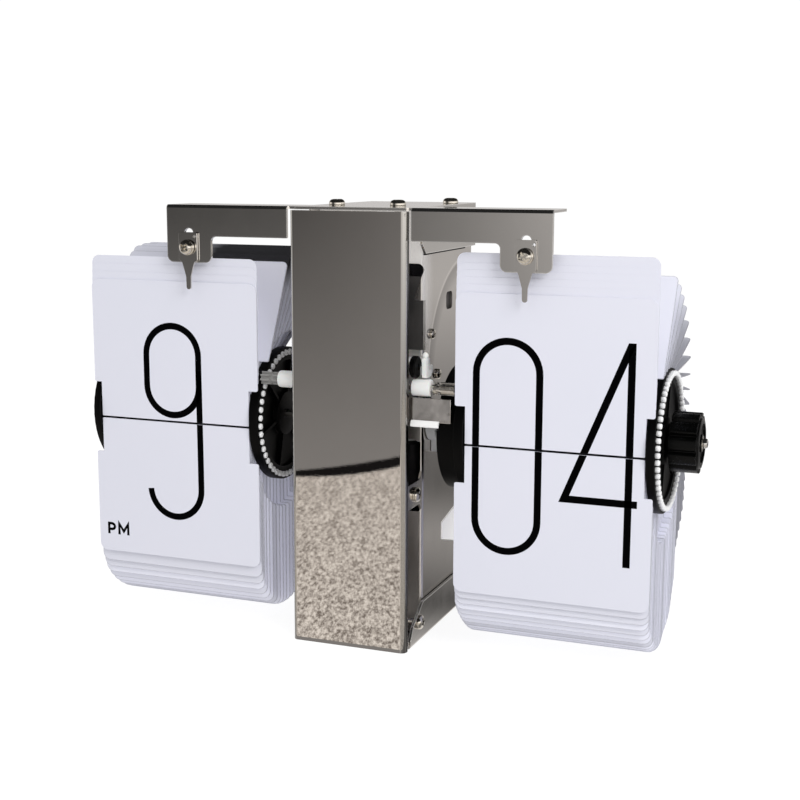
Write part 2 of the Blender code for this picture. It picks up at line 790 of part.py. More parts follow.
def build_battery_holder():
    """Holder around the cell, with bosses that show through the chassis' side windows."""
    section = [
        (-17.0, 22.0), (-17.0, 60.0), (-15.8, 60.0), (-15.8, 56.5),
        (15.8, 56.5), (15.8, 60.0), (17.0, 60.0), (17.0, 22.0),
    ]
    holder = prism("battery_holder", "Z", section, (1.5, 66.6), WHITE)
    boss = [
        (36.8, 28.1), (36.8, 33.9), (47.5, 36.0), (57.6, 38.0), (57.6, 22.3), (47.5, 25.1),
    ]
    for side, label in SIDES:
        join(holder, prism("tool_boss_" + label, "X", boss, mirrored(side, 15.0, 18.3)))
    floor, ceiling, room_r = 3.2, 65.2, CELL_R + 0.3
    room = [(floor, 0), (floor, room_r), (ceiling, room_r), (ceiling, 0)]
    cut(
        holder,
        turned("tool_cell_room", "Z", room, (0, CELL_Y), 40),
        box("tool_holder_front", (-18, 18), (20, 31.8), (floor, 68)),
        box("tool_holder_back", (-13.0, 13.0), (CELL_Y, 62.0), (floor, ceiling)),
    )


def build_battery_cell():
    """Upright cell with a raised contact on top, and the contact plate above it."""
    shoulder, contact = CELL_TOP - 1.0, CELL_TOP + 0.3
    profile = [
        (CELL_BOTTOM, 0),
        (CELL_BOTTOM, 15.6),
        (CELL_BOTTOM + 0.6, CELL_R),
        (CELL_TOP - 1.8, CELL_R),
        (shoulder, 15.4),
        (shoulder, 4.8),
        (contact, 4.6),
        (contact, 0),
    ]
    turned("battery_cell", "Z", profile, (0, CELL_Y), 32, JACKET)
    plate = rectangle((-5.5, 5.5), (33.0, 43.0), radius=1)
    prism("contact_plate", "Z", plate, (64.65, 64.95), SCREW)


def build_contact_spring():
    """Conical wire spring under the cell, narrower toward the top."""
    low, high, radius, wire = 3.3, 4.55, 7.0, 0.22
    turns, sections, wire_sides = 2.2, 12, 4
    narrowing = 0.42  # share of the radius lost at the top
    total = int(turns * sections)
    data = bmesh.new()
    rings = []
    for k in range(total + 1):
        angle = 2 * math.pi * k / sections
        center = around((0, CELL_Y), radius * (1.0 - narrowing * k / total), angle)
        z = low + wire + (high - low - 2 * wire) * k / total
        ring = []
        for j in range(wire_sides):
            turn = 2 * math.pi * j / wire_sides
            x, y = around(center, wire * math.cos(turn), angle)
            ring.append(data.verts.new((x, y, z + wire * math.sin(turn))))
        rings.append(ring)
    for first, second in zip(rings, rings[1:]):
        for j in range(wire_sides):
            i = (j + 1) % wire_sides
            data.faces.new((first[j], first[i], second[i], second[j]))
    data.faces.new(rings[0])
    data.faces.new(list(reversed(rings[-1])))
    finish("contact_spring", data, SCREW, (0, 0, 0))


# ---------------------------------------------------------------- cards


def card_outline(side, hinge, direction):
    """Card from its hinge edge's z, up (1) or down (-1), narrower next to the hinge."""
    free = hinge + direction * CARD_LEN
    shoulder = hinge + direction * NOTCH
    return rounded(
        [
            (side * NOTCH_IN, hinge, 0.3),
            (side * NOTCH_IN, shoulder, 0),
            (side * CARD_IN, shoulder, 0.5),
            (side * CARD_IN, free, 2.7),
            (side * CARD_OUT, free, 2.7),
            (side * CARD_OUT, shoulder, 0.5),
            (side * NOTCH_OUT, shoulder, 0),
            (side * NOTCH_OUT, hinge, 0.3),
        ]
    )


def pin(angle):
    """Card pin at an angle in degrees up from the front of the wheel."""
    turn = math.radians(angle)
    return WHEEL_Y - PIN_R * math.cos(turn), WHEEL_Z + PIN_R * math.sin(turn)


def lean(angle):
    """Backward lean of a card from the vertical, for the angle of its pin."""
    for (angle0, lean0), (angle1, lean1) in zip(LEAN, LEAN[1:]):
        if angle <= angle1:
            return lean0 + (lean1 - lean0) * (angle - angle0) / (angle1 - angle0)
    return 180.0


def tip(angle):
    """Free end of the leaning card whose pin is at this angle."""
    y, z = pin(angle)
    turn = math.radians(lean(angle))
    return y + PIN_TO_TIP * math.sin(turn), z + PIN_TO_TIP * math.cos(turn)


def pack(name, outline, side):
    """Closed outer shape of a group of cards, cut clear of the wheel's two rims."""
    made = prism(name, "X", outline, mirrored(side, CARD_IN, CARD_OUT), CARD)
    rim = circle(WHEEL, DISC_R + 0.6, 48)
    for tag, low, high in (("in", 30.0, NOTCH_IN), ("out", NOTCH_OUT, 99.0)):
        cut(made, prism(f"tool_rim_{tag}_{name}", "X", rim, mirrored(side, low, high)))


def build_front_cards(side, label):
    """The two cards that show, above and below the hinge."""
    hinge_x, hinge_y, hinge_z = HINGE
    span = (CARD_Y, CARD_Y + CARD_T)
    top = card_outline(side, hinge_z + 0.3, 1)
    prism(label + "_top_card", "Y", top, span, CARD, origin=(side * hinge_x, hinge_y, hinge_z))
    prism(label + "_bottom_card", "Y", card_outline(side, hinge_z - 0.4, -1), span, CARD)


def build_standing_cards(side, label, step, bunch_end):
    """The next cards, which stand close behind the front one, each on a higher pin."""
    count = int(round((bunch_end - FRONT_PIN) / step))
    front = CARD_Y + CARD_T + GAP
    pitch = 0.55
    tops = [
        (front + pitch * (k - 1), pin(FRONT_PIN + step * k)[1] + PIN_TO_TIP)
        for k in range(1, count + 1)
    ]
    outline = [(front, 70.9), tops[0]]
    for (_, z0), (y1, z1) in zip(tops, tops[1:]):
        outline += [(y1, z0), (y1, z1)]
    back_y, back_z = tops[-1]
    last_y, last_z = pin(FRONT_PIN + step * count)
    outline += [(back_y + 0.9, back_z), (last_y + 0.5, last_z - 0.3), (front + 0.45, 71.0)]
    pack(label + "_standing_cards", outline, side)


def build_rear_cards(side, label, step, bunch_end):
    """Cards that lie back over the top of the wheel and down behind it."""
    angles = [bunch_end + step + 1.5 + PACK_STEP * k for k in range(18)]
    angles = [angle for angle in angles if angle <= 164.0]
    outline = [tip(angle) for angle in angles]
    outline += [(49.0, 27.0), (46.4, 27.0), (46.4, 73.6)]
    outline += [pin(angle) for angle in reversed(angles)]
    pack(label + "_rear_cards", outline, side)


def build_hanging_cards(side, label, step):
    """Cards that hang from the lower half of the wheel."""
    angles = [FRONT_PIN - step * 2 - PACK_STEP * k for k in range(23)]
    upper = [pin(angle) for angle in angles if angle >= -172.0]
    lower = [(y, z - PIN_TO_TIP) for y, z in reversed(upper)]
    pack(label + "_hanging_cards", upper + lower, side)


# ---------------------------------------------------------------- assembly

build_cover()
build_tray()
build_chassis()
build_bracket()
build_catches()
build_frame_screws()
build_cover_clips()
build_wheels()
build_wheel_shafts()
build_carry_disc()
build_set_knob()
build_drive()
build_transfer()
build_transfer_bracket()
build_transfer_guard()
build_bearings()
build_movement()
build_battery_holder()
build_battery_cell()
build_contact_spring()
for wheel_side, wheel, card_step, last_standing in CARD_WHEELS:
    build_front_cards(wheel_side, wheel)
    build_standing_cards(wheel_side, wheel, card_step, last_standing)
    build_rear_cards(wheel_side, wheel, card_step, last_standing)
    build_hanging_cards(wheel_side, wheel, card_step)
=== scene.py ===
# Card clock: a polished steel column between two wheels of flip cards, hours at -X, minutes at +X.
# The front faces -Y, Z is up and the base stands on z = 0. Sizes are in millimetres, and y is
# counted back from the cover's front face; world_point turns both into the CAD frame's metres.
import cmath
import math
from functools import cached_property

import bmesh
import bpy
from mathutils import Matrix, Vector


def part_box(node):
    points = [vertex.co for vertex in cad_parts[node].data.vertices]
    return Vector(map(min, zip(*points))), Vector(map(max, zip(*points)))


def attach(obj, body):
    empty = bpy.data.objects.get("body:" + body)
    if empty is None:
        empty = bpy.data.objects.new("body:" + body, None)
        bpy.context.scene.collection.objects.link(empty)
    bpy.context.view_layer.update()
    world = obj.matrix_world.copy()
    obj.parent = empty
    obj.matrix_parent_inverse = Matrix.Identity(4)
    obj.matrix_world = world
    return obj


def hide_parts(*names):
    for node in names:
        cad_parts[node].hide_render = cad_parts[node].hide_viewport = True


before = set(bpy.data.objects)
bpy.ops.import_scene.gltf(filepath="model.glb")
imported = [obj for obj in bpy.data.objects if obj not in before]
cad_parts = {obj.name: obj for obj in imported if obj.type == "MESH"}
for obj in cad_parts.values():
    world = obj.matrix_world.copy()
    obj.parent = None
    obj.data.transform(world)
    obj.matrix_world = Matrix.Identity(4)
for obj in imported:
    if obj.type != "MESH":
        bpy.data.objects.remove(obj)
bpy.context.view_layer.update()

MM = 0.001
LOW, HIGH = 0, 1
X, Y, Z = 0, 1, 2
SIDES = ((-1, "left"), (1, "right"))

COVER_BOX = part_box("front_cover")
TRAY_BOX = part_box("base_tray")
BRACKET_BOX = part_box("top_bracket")
CHASSIS_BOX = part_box("chassis")
DISC_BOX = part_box("minute_disc_outer")
CARD_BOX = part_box("minute_top_card")

# From the cover's front face back to the CAD's y = 0.
BASE_MID = -COVER_BOX[LOW][Y] / MM

# Column, tray and chassis
SHEET = 0.9
COLUMN_HALF = 18.9
COLUMN_LEFT = COLUMN_HALF + 1.15
COVER_TOP = COVER_BOX[HIGH][Z] / MM
DEPTH = TRAY_BOX[HIGH][Y] / MM + BASE_MID
SIDE_OUT = TRAY_BOX[HIGH][X] / MM
BASE_HEIGHT = TRAY_BOX[HIGH][Z] / MM
BASE_FRONT = 4.3
GAP = 0.3
CHASSIS_HALF = CHASSIS_BOX[HIGH][X] / MM
CHASSIS_FRONT = CHASSIS_BOX[LOW][Y] / MM + BASE_MID
CHASSIS_TOP = 138.6
CHASSIS_T = 0.8
FACE_Y = CHASSIS_FRONT + 1.9

# Top bracket and its catches
HEIGHT = BRACKET_BOX[HIGH][Z] / MM
ARM_HALF = BRACKET_BOX[HIGH][X] / MM
ARM_FRONT = 1.0
ARM_DEPTH = 16.3
ARM_INNER = 20.8
FLANGE_Z = 130.0
FLANGE_ROOT_Z = 133.0
SIDE_FLANGE_Z = 125.4
TAB_Z = BRACKET_BOX[LOW][Z] / MM
TAB_IN = 48.0
CATCH_X = 56.0
CATCH_Z = 126.5
# The small hole beside each catch screw: its offset from CATCH_X, its height and radius.
PEEP_SHIFT, PEEP_Z, PEEP_R = 2.5, 129.9, 0.5

# Wheels
WHEEL_Y = (DISC_BOX[LOW][Y] + DISC_BOX[HIGH][Y]) / 2 / MM + BASE_MID
WHEEL_Z = (DISC_BOX[LOW][Z] + DISC_BOX[HIGH][Z]) / 2 / MM
WHEEL = (WHEEL_Y, WHEEL_Z)
DISC_R = (DISC_BOX[HIGH][Z] - DISC_BOX[LOW][Z]) / 2 / MM
PIN_R = 20.7
SHAFT_R = 1.5
DISC_IN = (33.3, 36.5)
DISC_OUT = (92.6, 95.2)
CARRY_R = 20.0
CARRY_TIP = 21.7
TRANSFER = (6.0, 84.8)

# Cards
CARD_IN = CARD_BOX[LOW][X] / MM
CARD_OUT = CARD_BOX[HIGH][X] / MM
CARD_Y = CARD_BOX[LOW][Y] / MM + BASE_MID
CARD_T = 0.42
NOTCH_IN = 36.9
NOTCH_OUT = 92.3
NOTCH = 11.6
PIN_TO_TIP = 46.0


def world_y(y):
    return (y - BASE_MID) * MM


def world_point(x, y, z):
    return x * MM, world_y(y), z * MM


# ------------------------------------------------------------------ shader nodes


class Net:
    """A node tree, with short calls for the nodes used below."""

    def __init__(self, owner, space="Object"):
        owner.use_nodes = True
        self.owner = owner
        self.tree = owner.node_tree
        self.space = space

    @cached_property
    def coords(self):
        return self.add("TexCoord").outputs[self.space]

    def feed(self, socket, value):
        """Link value to the socket if it is a socket itself, or else set it."""
        if isinstance(value, bpy.types.NodeSocket):
            self.tree.links.new(value, socket)
        elif socket.type == "RGBA":
            socket.default_value = (*value, 1.0)
        else:
            socket.default_value = value

    def add(self, kind, inputs=(), **settings):
        node = self.tree.nodes.new("ShaderNode" + kind)
        for key, value in settings.items():
            setattr(node, key, value)
        for key, value in dict(inputs).items():
            self.feed(node.inputs[key], value)
        return node

    def set(self, **values):
        """Feed the principled shader."""
        shader = self.tree.nodes["Principled BSDF"]
        for key, value in values.items():
            self.feed(shader.inputs[key.replace("_", " ")], value)

    def split(self):
        return self.add("SeparateXYZ", {0: self.coords}).outputs

    def noise(self, scale, detail=4.0, rough=0.55, stretch=(1, 1, 1), distortion=0.0):
        mapped = self.add("Mapping", {"Vector": self.coords, "Scale": stretch})
        values = {
            "Vector": mapped.outputs["Vector"],
            "Scale": scale,
            "Detail": detail,
            "Roughness": rough,
            "Distortion": distortion,
        }
        return self.add("TexNoise", values).outputs["Fac"]

    def ramp(self, source, stops):
        """Colour ramp. A stop is (position, colour)."""
        node = self.add("ValToRGB", {"Fac": source})
        elements = node.color_ramp.elements
        while len(elements) < len(stops):
            elements.new(0.5)
        for element, (position, color) in zip(elements, stops):
            element.position = position
            element.color = (*color, 1.0)
        return node.outputs["Color"]

    def span(self, source, limits, to=(0.0, 1.0)):
        """Map the range between the limits to another range."""
        values = {
            "Value": source,
            "From Min": limits[0],
            "From Max": limits[1],
            "To Min": to[0],
            "To Max": to[1],
        }
        return self.add("MapRange", values).outputs["Result"]

    def math(self, operation, *values):
        return self.add("Math", dict(enumerate(values)), operation=operation).outputs["Value"]

    def mix(self, factor, first, second, blend="MIX"):
        values = {0: factor, 6: first, 7: second}
        return self.add("Mix", values, data_type="RGBA", blend_type=blend).outputs[2]

    def mix_shader(self, factor, first, second):
        return self.add("MixShader", {0: factor, 1: first, 2: second}).outputs[0]

    def bump(self, height, strength, distance, after=None):
        values = {"Strength": strength, "Distance": distance, "Height": height}
        if after:
            values["Normal"] = after
        return self.add("Bump", values).outputs["Normal"]

    def edge(self, radius):
        """Edge mask, for worn edges and for painted edge highlights and shadows: how far a bevelled
        normal turns from the true one.
        """
        bevel = self.add("Bevel", {"Radius": radius}, samples=4).outputs["Normal"]
        normal = self.add("NewGeometry").outputs["Normal"]
        dot = self.add("VectorMath", {0: bevel, 1: normal}, operation="DOT_PRODUCT")
        return self.span(dot.outputs["Value"], (0.995, 0.85))


def new_material(name):
    return Net(bpy.data.materials.new(name))


def tinted(color, factor, lift=0.0):
    return tuple(min(1.0, c * factor + lift) for c in color)


# ------------------------------------------------------------------ metals

# (position, brightness) across a painted ring reflection: a duller band, then a thin light line.
RING_REFLECTION_TONES = ((0.0, 1), (0.30, 0.80), (0.60, 0.66), (0.66, 1.0), (0.72, 1.3), (0.80, 1))


def paint_ring_reflection(net, tone, y, z, radius):
    """Painted reflection: darken the tone up to a circle about the X axis, with a light line just
    past its edge.
    """
    place = net.split()
    away_y = net.math("SUBTRACT", place["Y"], world_y(y))
    away_z = net.math("SUBTRACT", place["Z"], z * MM)
    squares = net.math(
        "ADD", net.math("MULTIPLY", away_y, away_y), net.math("MULTIPLY", away_z, away_z)
    )
    away = net.math("SQRT", squares)
    spot = net.span(away, ((radius - 6) * MM, (radius + 3) * MM))
    stops = [(position, (grey, grey, grey)) for position, grey in RING_REFLECTION_TONES]
    return net.mix(1.0, tone, net.ramp(spot, stops), "MULTIPLY")


def paint_in_light(net, depth, height, dull, glow):
    """Painted light: grey-white, less metallic and glowing, fading out over a range of y and in over
    one of z.
    """
    place = net.split()
    near = net.span(place["Y"], (world_y(depth[0]), world_y(depth[1])), to=(1.0, 0.0))
    raised = net.span(place["Z"], (height[0] * MM, height[1] * MM))
    both = net.math("MULTIPLY", near, raised)
    net.set(
        Metallic=net.math("SUBTRACT", 1.0, net.math("MULTIPLY", both, dull)),
        Emission_Color=(0.9, 0.87, 0.84),
        Emission_Strength=net.math("MULTIPLY", both, glow),
    )


def steel(
    name, color, rough, wave=0.0, ripple=14, scratch=0.02, grain=(1, 1, 12),
    ring=None, painted_light_area=None, painted_edge_highlight=0.0,
):
    """Worn metal. wave and ripple bend the sheet and grain stretches the scratches; the last three
    options add painted light: a ring reflection, a lit and glowing patch, and glowing edge
    highlights."""
    net = new_material(name)
    net.set(Metallic=1.0)
    haze = net.noise(scale=38, detail=5, rough=0.6)
    fine = net.noise(scale=420, detail=3, rough=0.7, stretch=grain)
    smear = net.noise(scale=95, detail=6, rough=0.65, stretch=(1, 1, 0.35), distortion=0.4)
    tone = net.mix(net.span(haze, (0.35, 0.7)), color, tinted(color, 0.95))
    worn_edge = net.math("MULTIPLY", net.edge(radius=0.00025), 0.5)
    tone = net.mix(worn_edge, tone, (0.93, 0.92, 0.9))
    # A ring is a painted reflection on the plate.
    if ring:
        tone = paint_ring_reflection(net, tone, **ring)
    smeared = net.span(smear, (0.35, 0.75), to=(rough * 0.8, rough * 1.5))
    scratched = net.span(fine, (0.4, 0.7), to=(0.0, scratch))
    normal = net.bump(fine, strength=0.02 + scratch * 0.5, distance=0.00003)
    if wave:
        ripples = net.noise(scale=ripple, detail=2, rough=0.4)
        normal = net.bump(ripples, strength=wave, distance=0.0008, after=normal)
    net.set(Base_Color=tone, Roughness=net.math("ADD", smeared, scratched), Normal=normal)
    # Painted light: a lit, glowing patch.
    if painted_light_area:
        paint_in_light(net, **painted_light_area)
    # Painted highlight: the edges glow.
    if painted_edge_highlight:
        net.set(
            Emission_Color=(1.0, 0.98, 0.95),
            Emission_Strength=net.math("MULTIPLY", net.edge(radius=0.0006), painted_edge_highlight),
        )
    return net.owner


BRUSHED = {
    "color": (0.72, 0.70, 0.67), "rough": 0.07, "wave": 0.02, "scratch": 0.03, "grain": (1, 1, 14),
}
MIRROR = steel("mirror_steel", color=(0.70, 0.665, 0.63), rough=0.008, scratch=0.002)
# The bracket steel carries painted edge highlights.
ARM_STEEL = steel("bracket_steel", **BRUSHED, painted_edge_highlight=0.22)
FINGER_STEEL = steel("finger_steel", **BRUSHED)
# Painted reflection: a darker copy of the mirror steel for the cover's side bends.
BEND_DARK_REFLECTION = steel("bend_painted_dark_reflection", color=(0.49, 0.48, 0.455), rough=0.09, scratch=0.01)
PLATE_STEEL = steel(
    "chassis_steel", color=(0.73, 0.70, 0.665), rough=0.09, wave=0.05, scratch=0.03,
    # painted reflection of a ring on the side plate
    ring={"y": 60.0, "z": 84.0, "radius": 37.5},
    # painted light: a lit, glowing patch near the front of the side plate
    painted_light_area={"depth": (19.0, 27.0), "height": (90.0, 108.0), "dull": 0.75, "glow": 0.16},
)
FACE_STEEL = steel(
    "chassis_face_steel", color=(0.86, 0.84, 0.81), rough=0.34, wave=0.03, scratch=0.05,
    # painted light: the top of the chassis face lit and glowing
    painted_light_area={"depth": (90.0, 91.0), "height": (118.0, 123.0), "dull": 1.0, "glow": 0.38},
)
GUARD_STEEL = steel(
    "guard_steel", color=(0.80, 0.77, 0.74), rough=0.06, wave=0.6, ripple=120, scratch=0.03
)
# Painted reflection: a near-black copy of the mirror steel for the cover's right flange.
FLANGE_DARK_REFLECTION = steel("flange_painted_dark_reflection", color=(0.06, 0.056, 0.052), rough=0.16, scratch=0.03)
SCREW_STEEL = steel(
    "screw_steel", color=(0.76, 0.72, 0.64), rough=0.075, scratch=0.04, grain=(4, 4, 4)
)
SHAFT_STEEL = steel(
    "shaft_steel", color=(0.74, 0.73, 0.71), rough=0.14, scratch=0.06, grain=(30, 1, 1)
)
PINION_BRIGHT = steel("pinion_steel", color=(0.74, 0.72, 0.68), rough=0.2, scratch=0.05)
CONTACT = steel("contact_steel", color=(0.80, 0.79, 0.76), rough=0.12, scratch=0.04)
BRASS = steel(
    "turned_brass", color=(0.80, 0.60, 0.27), rough=0.2, scratch=0.06, grain=(20, 1, 1)
)


def winding():
    """Copper wire wound round the Z axis."""
    net = new_material("copper_winding")
    wave = net.add(
        "TexWave",
        {"Scale": 1100, "Distortion": 0.6, "Vector": net.coords},
        wave_type="BANDS",
        bands_direction="Z",
    ).outputs["Fac"]
    net.set(
        Metallic=0.9,
        Base_Color=net.mix(wave, (0.50, 0.20, 0.08), (0.86, 0.46, 0.24)),
        Roughness=net.span(net.noise(scale=80, detail=4), (0.3, 0.7), to=(0.25, 0.4)),
        Normal=net.bump(wave, strength=0.6, distance=0.0002),
    )
    return net.owner


def jacket():
    """The cell's jacket: dark foil, slightly clouded."""
    net = new_material("cell_jacket")
    haze = net.noise(scale=70, detail=5, rough=0.6)
    clouding = net.span(haze, (0.3, 0.7))
    net.set(
        Metallic=0.75,
        Base_Color=net.mix(clouding, (0.018, 0.018, 0.021), (0.030, 0.030, 0.034)),
        Roughness=net.span(haze, (0.3, 0.7), to=(0.2, 0.34)),
        Normal=net.bump(haze, strength=0.04, distance=0.0003),
    )
    return net.owner


WINDING = winding()
JACKET = jacket()


# ------------------------------------------------------------------ plastics


def plastic(name, color, rough, mottle, pores=0.02, shine=0.5, subsurface=0.0, speck=None, glow=0):
    """Moulded plastic, clouded between color and color times mottle."""
    net = new_material(name)
    cloud = net.noise(scale=60, detail=5, rough=0.6)
    fine = net.noise(scale=1400, detail=3, rough=0.6)
    tone = net.mix(net.span(cloud, (0.3, 0.7)), color, tinted(color, mottle))
    if speck:
        specks = net.noise(scale=900, detail=2, rough=0.5)
        tone = net.mix(net.span(specks, (0.66, 0.72)), tone, speck)
    worn_edge = net.math("MULTIPLY", net.edge(radius=0.0003), 0.35)
    clouded = net.span(cloud, (0.3, 0.7), to=(rough * 0.85, rough * 1.15))
    grainy = net.span(fine, (0.3, 0.7), to=(0.0, 0.05))
    dents = net.bump(cloud, strength=pores, distance=0.0003)
    net.set(
        Base_Color=net.mix(worn_edge, tone, tinted(color, 1.25, lift=0.03)),
        Roughness=net.math("ADD", clouded, grainy),
        Normal=net.bump(fine, strength=pores * 5, distance=0.00002, after=dents),
        Specular_IOR_Level=shine,
    )
    if subsurface:
        net.set(Subsurface_Weight=subsurface, Subsurface_Scale=0.002)
    # Painted light: a glow that brightens a part in shade.
    if glow:
        net.set(Emission_Color=(1.0, 0.98, 0.96), Emission_Strength=glow)
    return net.owner


INK = plastic(
    "printed_ink", color=(0.0008, 0.0008, 0.0010), rough=0.7, mottle=1.4, pores=0.01, shine=0.02
)
BLACK = plastic("black_moulding", color=(0.0008, 0.0008, 0.0009), rough=0.42, mottle=1.7, shine=0.09)
KNOB_BLACK = plastic(
    "knob_moulding", color=(0.0006, 0.0007, 0.0006), rough=0.26, mottle=1.8, pores=0.03, shine=0.16
)
CASE_BLACK = plastic(
    "movement_moulding", color=(0.014, 0.014, 0.018), rough=0.34, mottle=1.5, pores=0.03, shine=0.3
)
WHITE = plastic(
    "white_acetal", color=(0.86, 0.86, 0.84), rough=0.36, mottle=0.97, pores=0.01, subsurface=0.08
)
PIN_WHITE = plastic("pin_white", color=(0.95, 0.95, 0.95), rough=0.4, mottle=0.98, pores=0.01)
LIP_WHITE = plastic("guard_lip", color=(0.97, 0.96, 0.94), rough=0.3, mottle=0.98, pores=0.01)
# Painted light: the bosses glow to stay bright in the shade between plate and cards.
BOSS_WHITE_PAINTED_GLOW = plastic(
    "boss_white_painted_glow", color=(0.97, 0.965, 0.95), rough=0.4, mottle=0.98, pores=0.01, glow=0.3
)
GREY = plastic("grey_acetal", color=(0.30, 0.295, 0.285), rough=0.40, mottle=0.8)
BOARD = plastic(
    "board_laminate", color=(0.05, 0.12, 0.07), rough=0.45, mottle=0.7, speck=(0.5, 0.42, 0.2)
)
DULL = plastic("dull_moulding", color=(0.14, 0.13, 0.125), rough=0.5, mottle=0.9)


# ------------------------------------------------------------------ card stock

CARD_COLOR = (0.80, 0.80, 0.885)
CARD_CLOUD = (0.785, 0.79, 0.875)


def card_shade(net, tone):
    """Darken the tops of the leaning hour cards, most of all near the column."""
    place = net.split()
    low_part = net.span(place["Z"], (0.098, 0.112), to=(-0.14, 0.0))
    top_part = net.span(place["Z"], (0.112, 0.1195), to=(0.22, 0.975))
    beside = net.span(place["X"], (-0.082, -0.062), to=(0.25, 1.0))
    amount = net.math("MULTIPLY", beside, net.math("ADD", top_part, low_part))
    return net.mix(amount, tone, (0.008, 0.008, 0.010))


def card_stock(
    name, painted_shade_factor=1.0, edge_amount=0.18, edge_radius=0.00015, edge_tone=0.72, shade=False, lift=0.0
):
    """Printed card: fibres in the surface, a soft sheen and a duller cut edge. A factor below 1, the
    shade option and a strong dark edge paint shade onto the card, and a faint glow of the given lift
    is painted light for cards in shade."""
    net = new_material(name)
    color = tinted(CARD_COLOR, painted_shade_factor)
    cloud = net.noise(scale=22, detail=4, rough=0.5)
    fibre = net.noise(scale=900, detail=5, rough=0.7, stretch=(1, 1, 0.25))
    tone = net.mix(net.span(cloud, (0.3, 0.7)), color, tinted(CARD_CLOUD, painted_shade_factor))
    tone = net.mix(net.span(fibre, (0.62, 0.8), to=(0.0, 0.10)), tone, tinted(color, 0.86))
    if edge_amount:
        edge = net.math("MULTIPLY", net.edge(edge_radius), edge_amount)
        tone = net.mix(edge, tone, tinted(color, edge_tone))
    if shade:
        tone = card_shade(net, tone)
    # Painted light: the card glows.
    if lift:
        net.set(Emission_Color=tone, Emission_Strength=lift)
    clouds = net.bump(cloud, strength=0.02, distance=0.0006)
    net.set(
        Base_Color=tone,
        Roughness=net.span(fibre, (0.3, 0.7), to=(0.42, 0.58)),
        Normal=net.bump(fibre, strength=0.05, distance=0.00003, after=clouds),
        Specular_IOR_Level=0.35,
    )
    return net.owner


# Painted shadow: a broad dark edge that stands for the shade each card casts on the one behind it.
PAINTED_EDGE_SHADOW = {"edge_radius": 0.0005, "edge_tone": 0.16}
CARD = card_stock("card_stock")
CARD_PLAIN = card_stock("card_stock_plain", edge_amount=0)
# Painted shade: darker copies of the card for cards deeper in the stack, with painted shadow lines.
CARD_PAINTED_SHADE = [
    card_stock(f"card_stock_painted_shade_{k}", painted_shade_factor=painted_shade_factor, edge_amount=0.7, **PAINTED_EDGE_SHADOW)
    for k, painted_shade_factor in enumerate((1.0, 0.93, 0.84, 0.74, 0.62))
]
# Painted light and shade: darker copies for the hanging cards, with painted shadow lines and a glow
# that lifts their shade.
CARD_HANGING_PAINTED_LIGHT = [
    card_stock(f"card_stock_hanging_painted_light_{k}", painted_shade_factor=painted_shade_factor, edge_amount=0.75, lift=0.13, **PAINTED_EDGE_SHADOW)
    for k, painted_shade_factor in enumerate((1.0, 0.95, 0.88, 0.80))
]
# Painted light: a glowing copy for the first rear hour card; painted shade and a glow for the next
# ones.
CARD_PAINTED_GLOW = card_stock("card_stock_painted_glow", edge_amount=0.6, lift=0.2, **PAINTED_EDGE_SHADOW)
CARD_SHADED = card_stock("card_stock_shaded", edge_amount=0.6, shade=True, lift=0.08, **PAINTED_EDGE_SHADOW)


# ------------------------------------------------------------------ modelling


def place(obj):
    bpy.context.scene.collection.objects.link(obj)
    return obj


def rounded(corners, steps=6):
    """Outline with arcs at its corners. A corner is (first, second, radius)."""
    points = []
    for i, (*spot, radius) in enumerate(corners):
        if radius <= 0:
            points.append(tuple(spot))
            continue
        corner = complex(*spot)
        before = complex(*corners[i - 1][:2]) - corner
        after = complex(*corners[(i + 1) % len(corners)][:2]) - corner
        before /= abs(before)
        after /= abs(after)
        cosine = (before * after.conjugate()).real
        half = math.acos(max(-1.0, min(1.0, cosine))) / 2
        reach = radius / math.tan(half)
        middle = before + after
        center = corner + middle / abs(middle) * radius / math.sin(half)
        start = cmath.phase(corner + before * reach - center)
        end = cmath.phase(corner + after * reach - center)
        turn = (end - start + math.pi) % (2 * math.pi) - math.pi
        for k in range(steps + 1):
            point = center + cmath.rect(radius, start + turn * k / steps)
            points.append((point.real, point.imag))
    return points


def rounded_rect(first, second, radius, steps=5):
    """Rectangle over two (low, high) spans."""
    corners = [(0, 0), (1, 0), (1, 1), (0, 1)]
    return rounded([(first[i], second[j], radius) for i, j in corners], steps)


def polar(center, radius, angle):
    return center[0] + radius * math.cos(angle), center[1] + radius * math.sin(angle)


def circle(center, radius, count):
    return [polar(center, radius, 2 * math.pi * k / count) for k in range(count)]


def on_axis(axis, along, spot):
    """3D point from its place along an axis and its other two coordinates, in XYZ order."""
    point = list(spot)
    point.insert("XYZ".index(axis), along)
    return point


def to_object(name, data, mat=None):
    bmesh.ops.recalc_face_normals(data, faces=data.faces)
    mesh = bpy.data.meshes.new(name)
    for vert in data.verts:
        vert.co = world_point(*vert.co)
    data.to_mesh(mesh)
    data.free()
    obj = place(bpy.data.objects.new(name, mesh))
    if mat:
        mesh.materials.append(mat)
    return obj


def close_solid(data, bottom, top):
    """Faces of a solid between two matching outlines."""
    data.faces.new(bottom)
    data.faces.new(list(reversed(top)))
    for i in range(len(bottom)):
        j = (i + 1) % len(bottom)
        data.faces.new((bottom[i], top[i], top[j], bottom[j]))


def bridge(data, first, second):
    """Band of quads between two rings of the same count."""
    for k in range(len(first)):
        j = (k + 1) % len(first)
        data.faces.new((first[k], first[j], second[j], second[k]))


def tube_through(data, rings):
    """Skin over a row of rings, closed at both ends."""
    for first, second in zip(rings, rings[1:]):
        bridge(data, first, second)
    data.faces.new(rings[0])
    data.faces.new(list(reversed(rings[-1])))


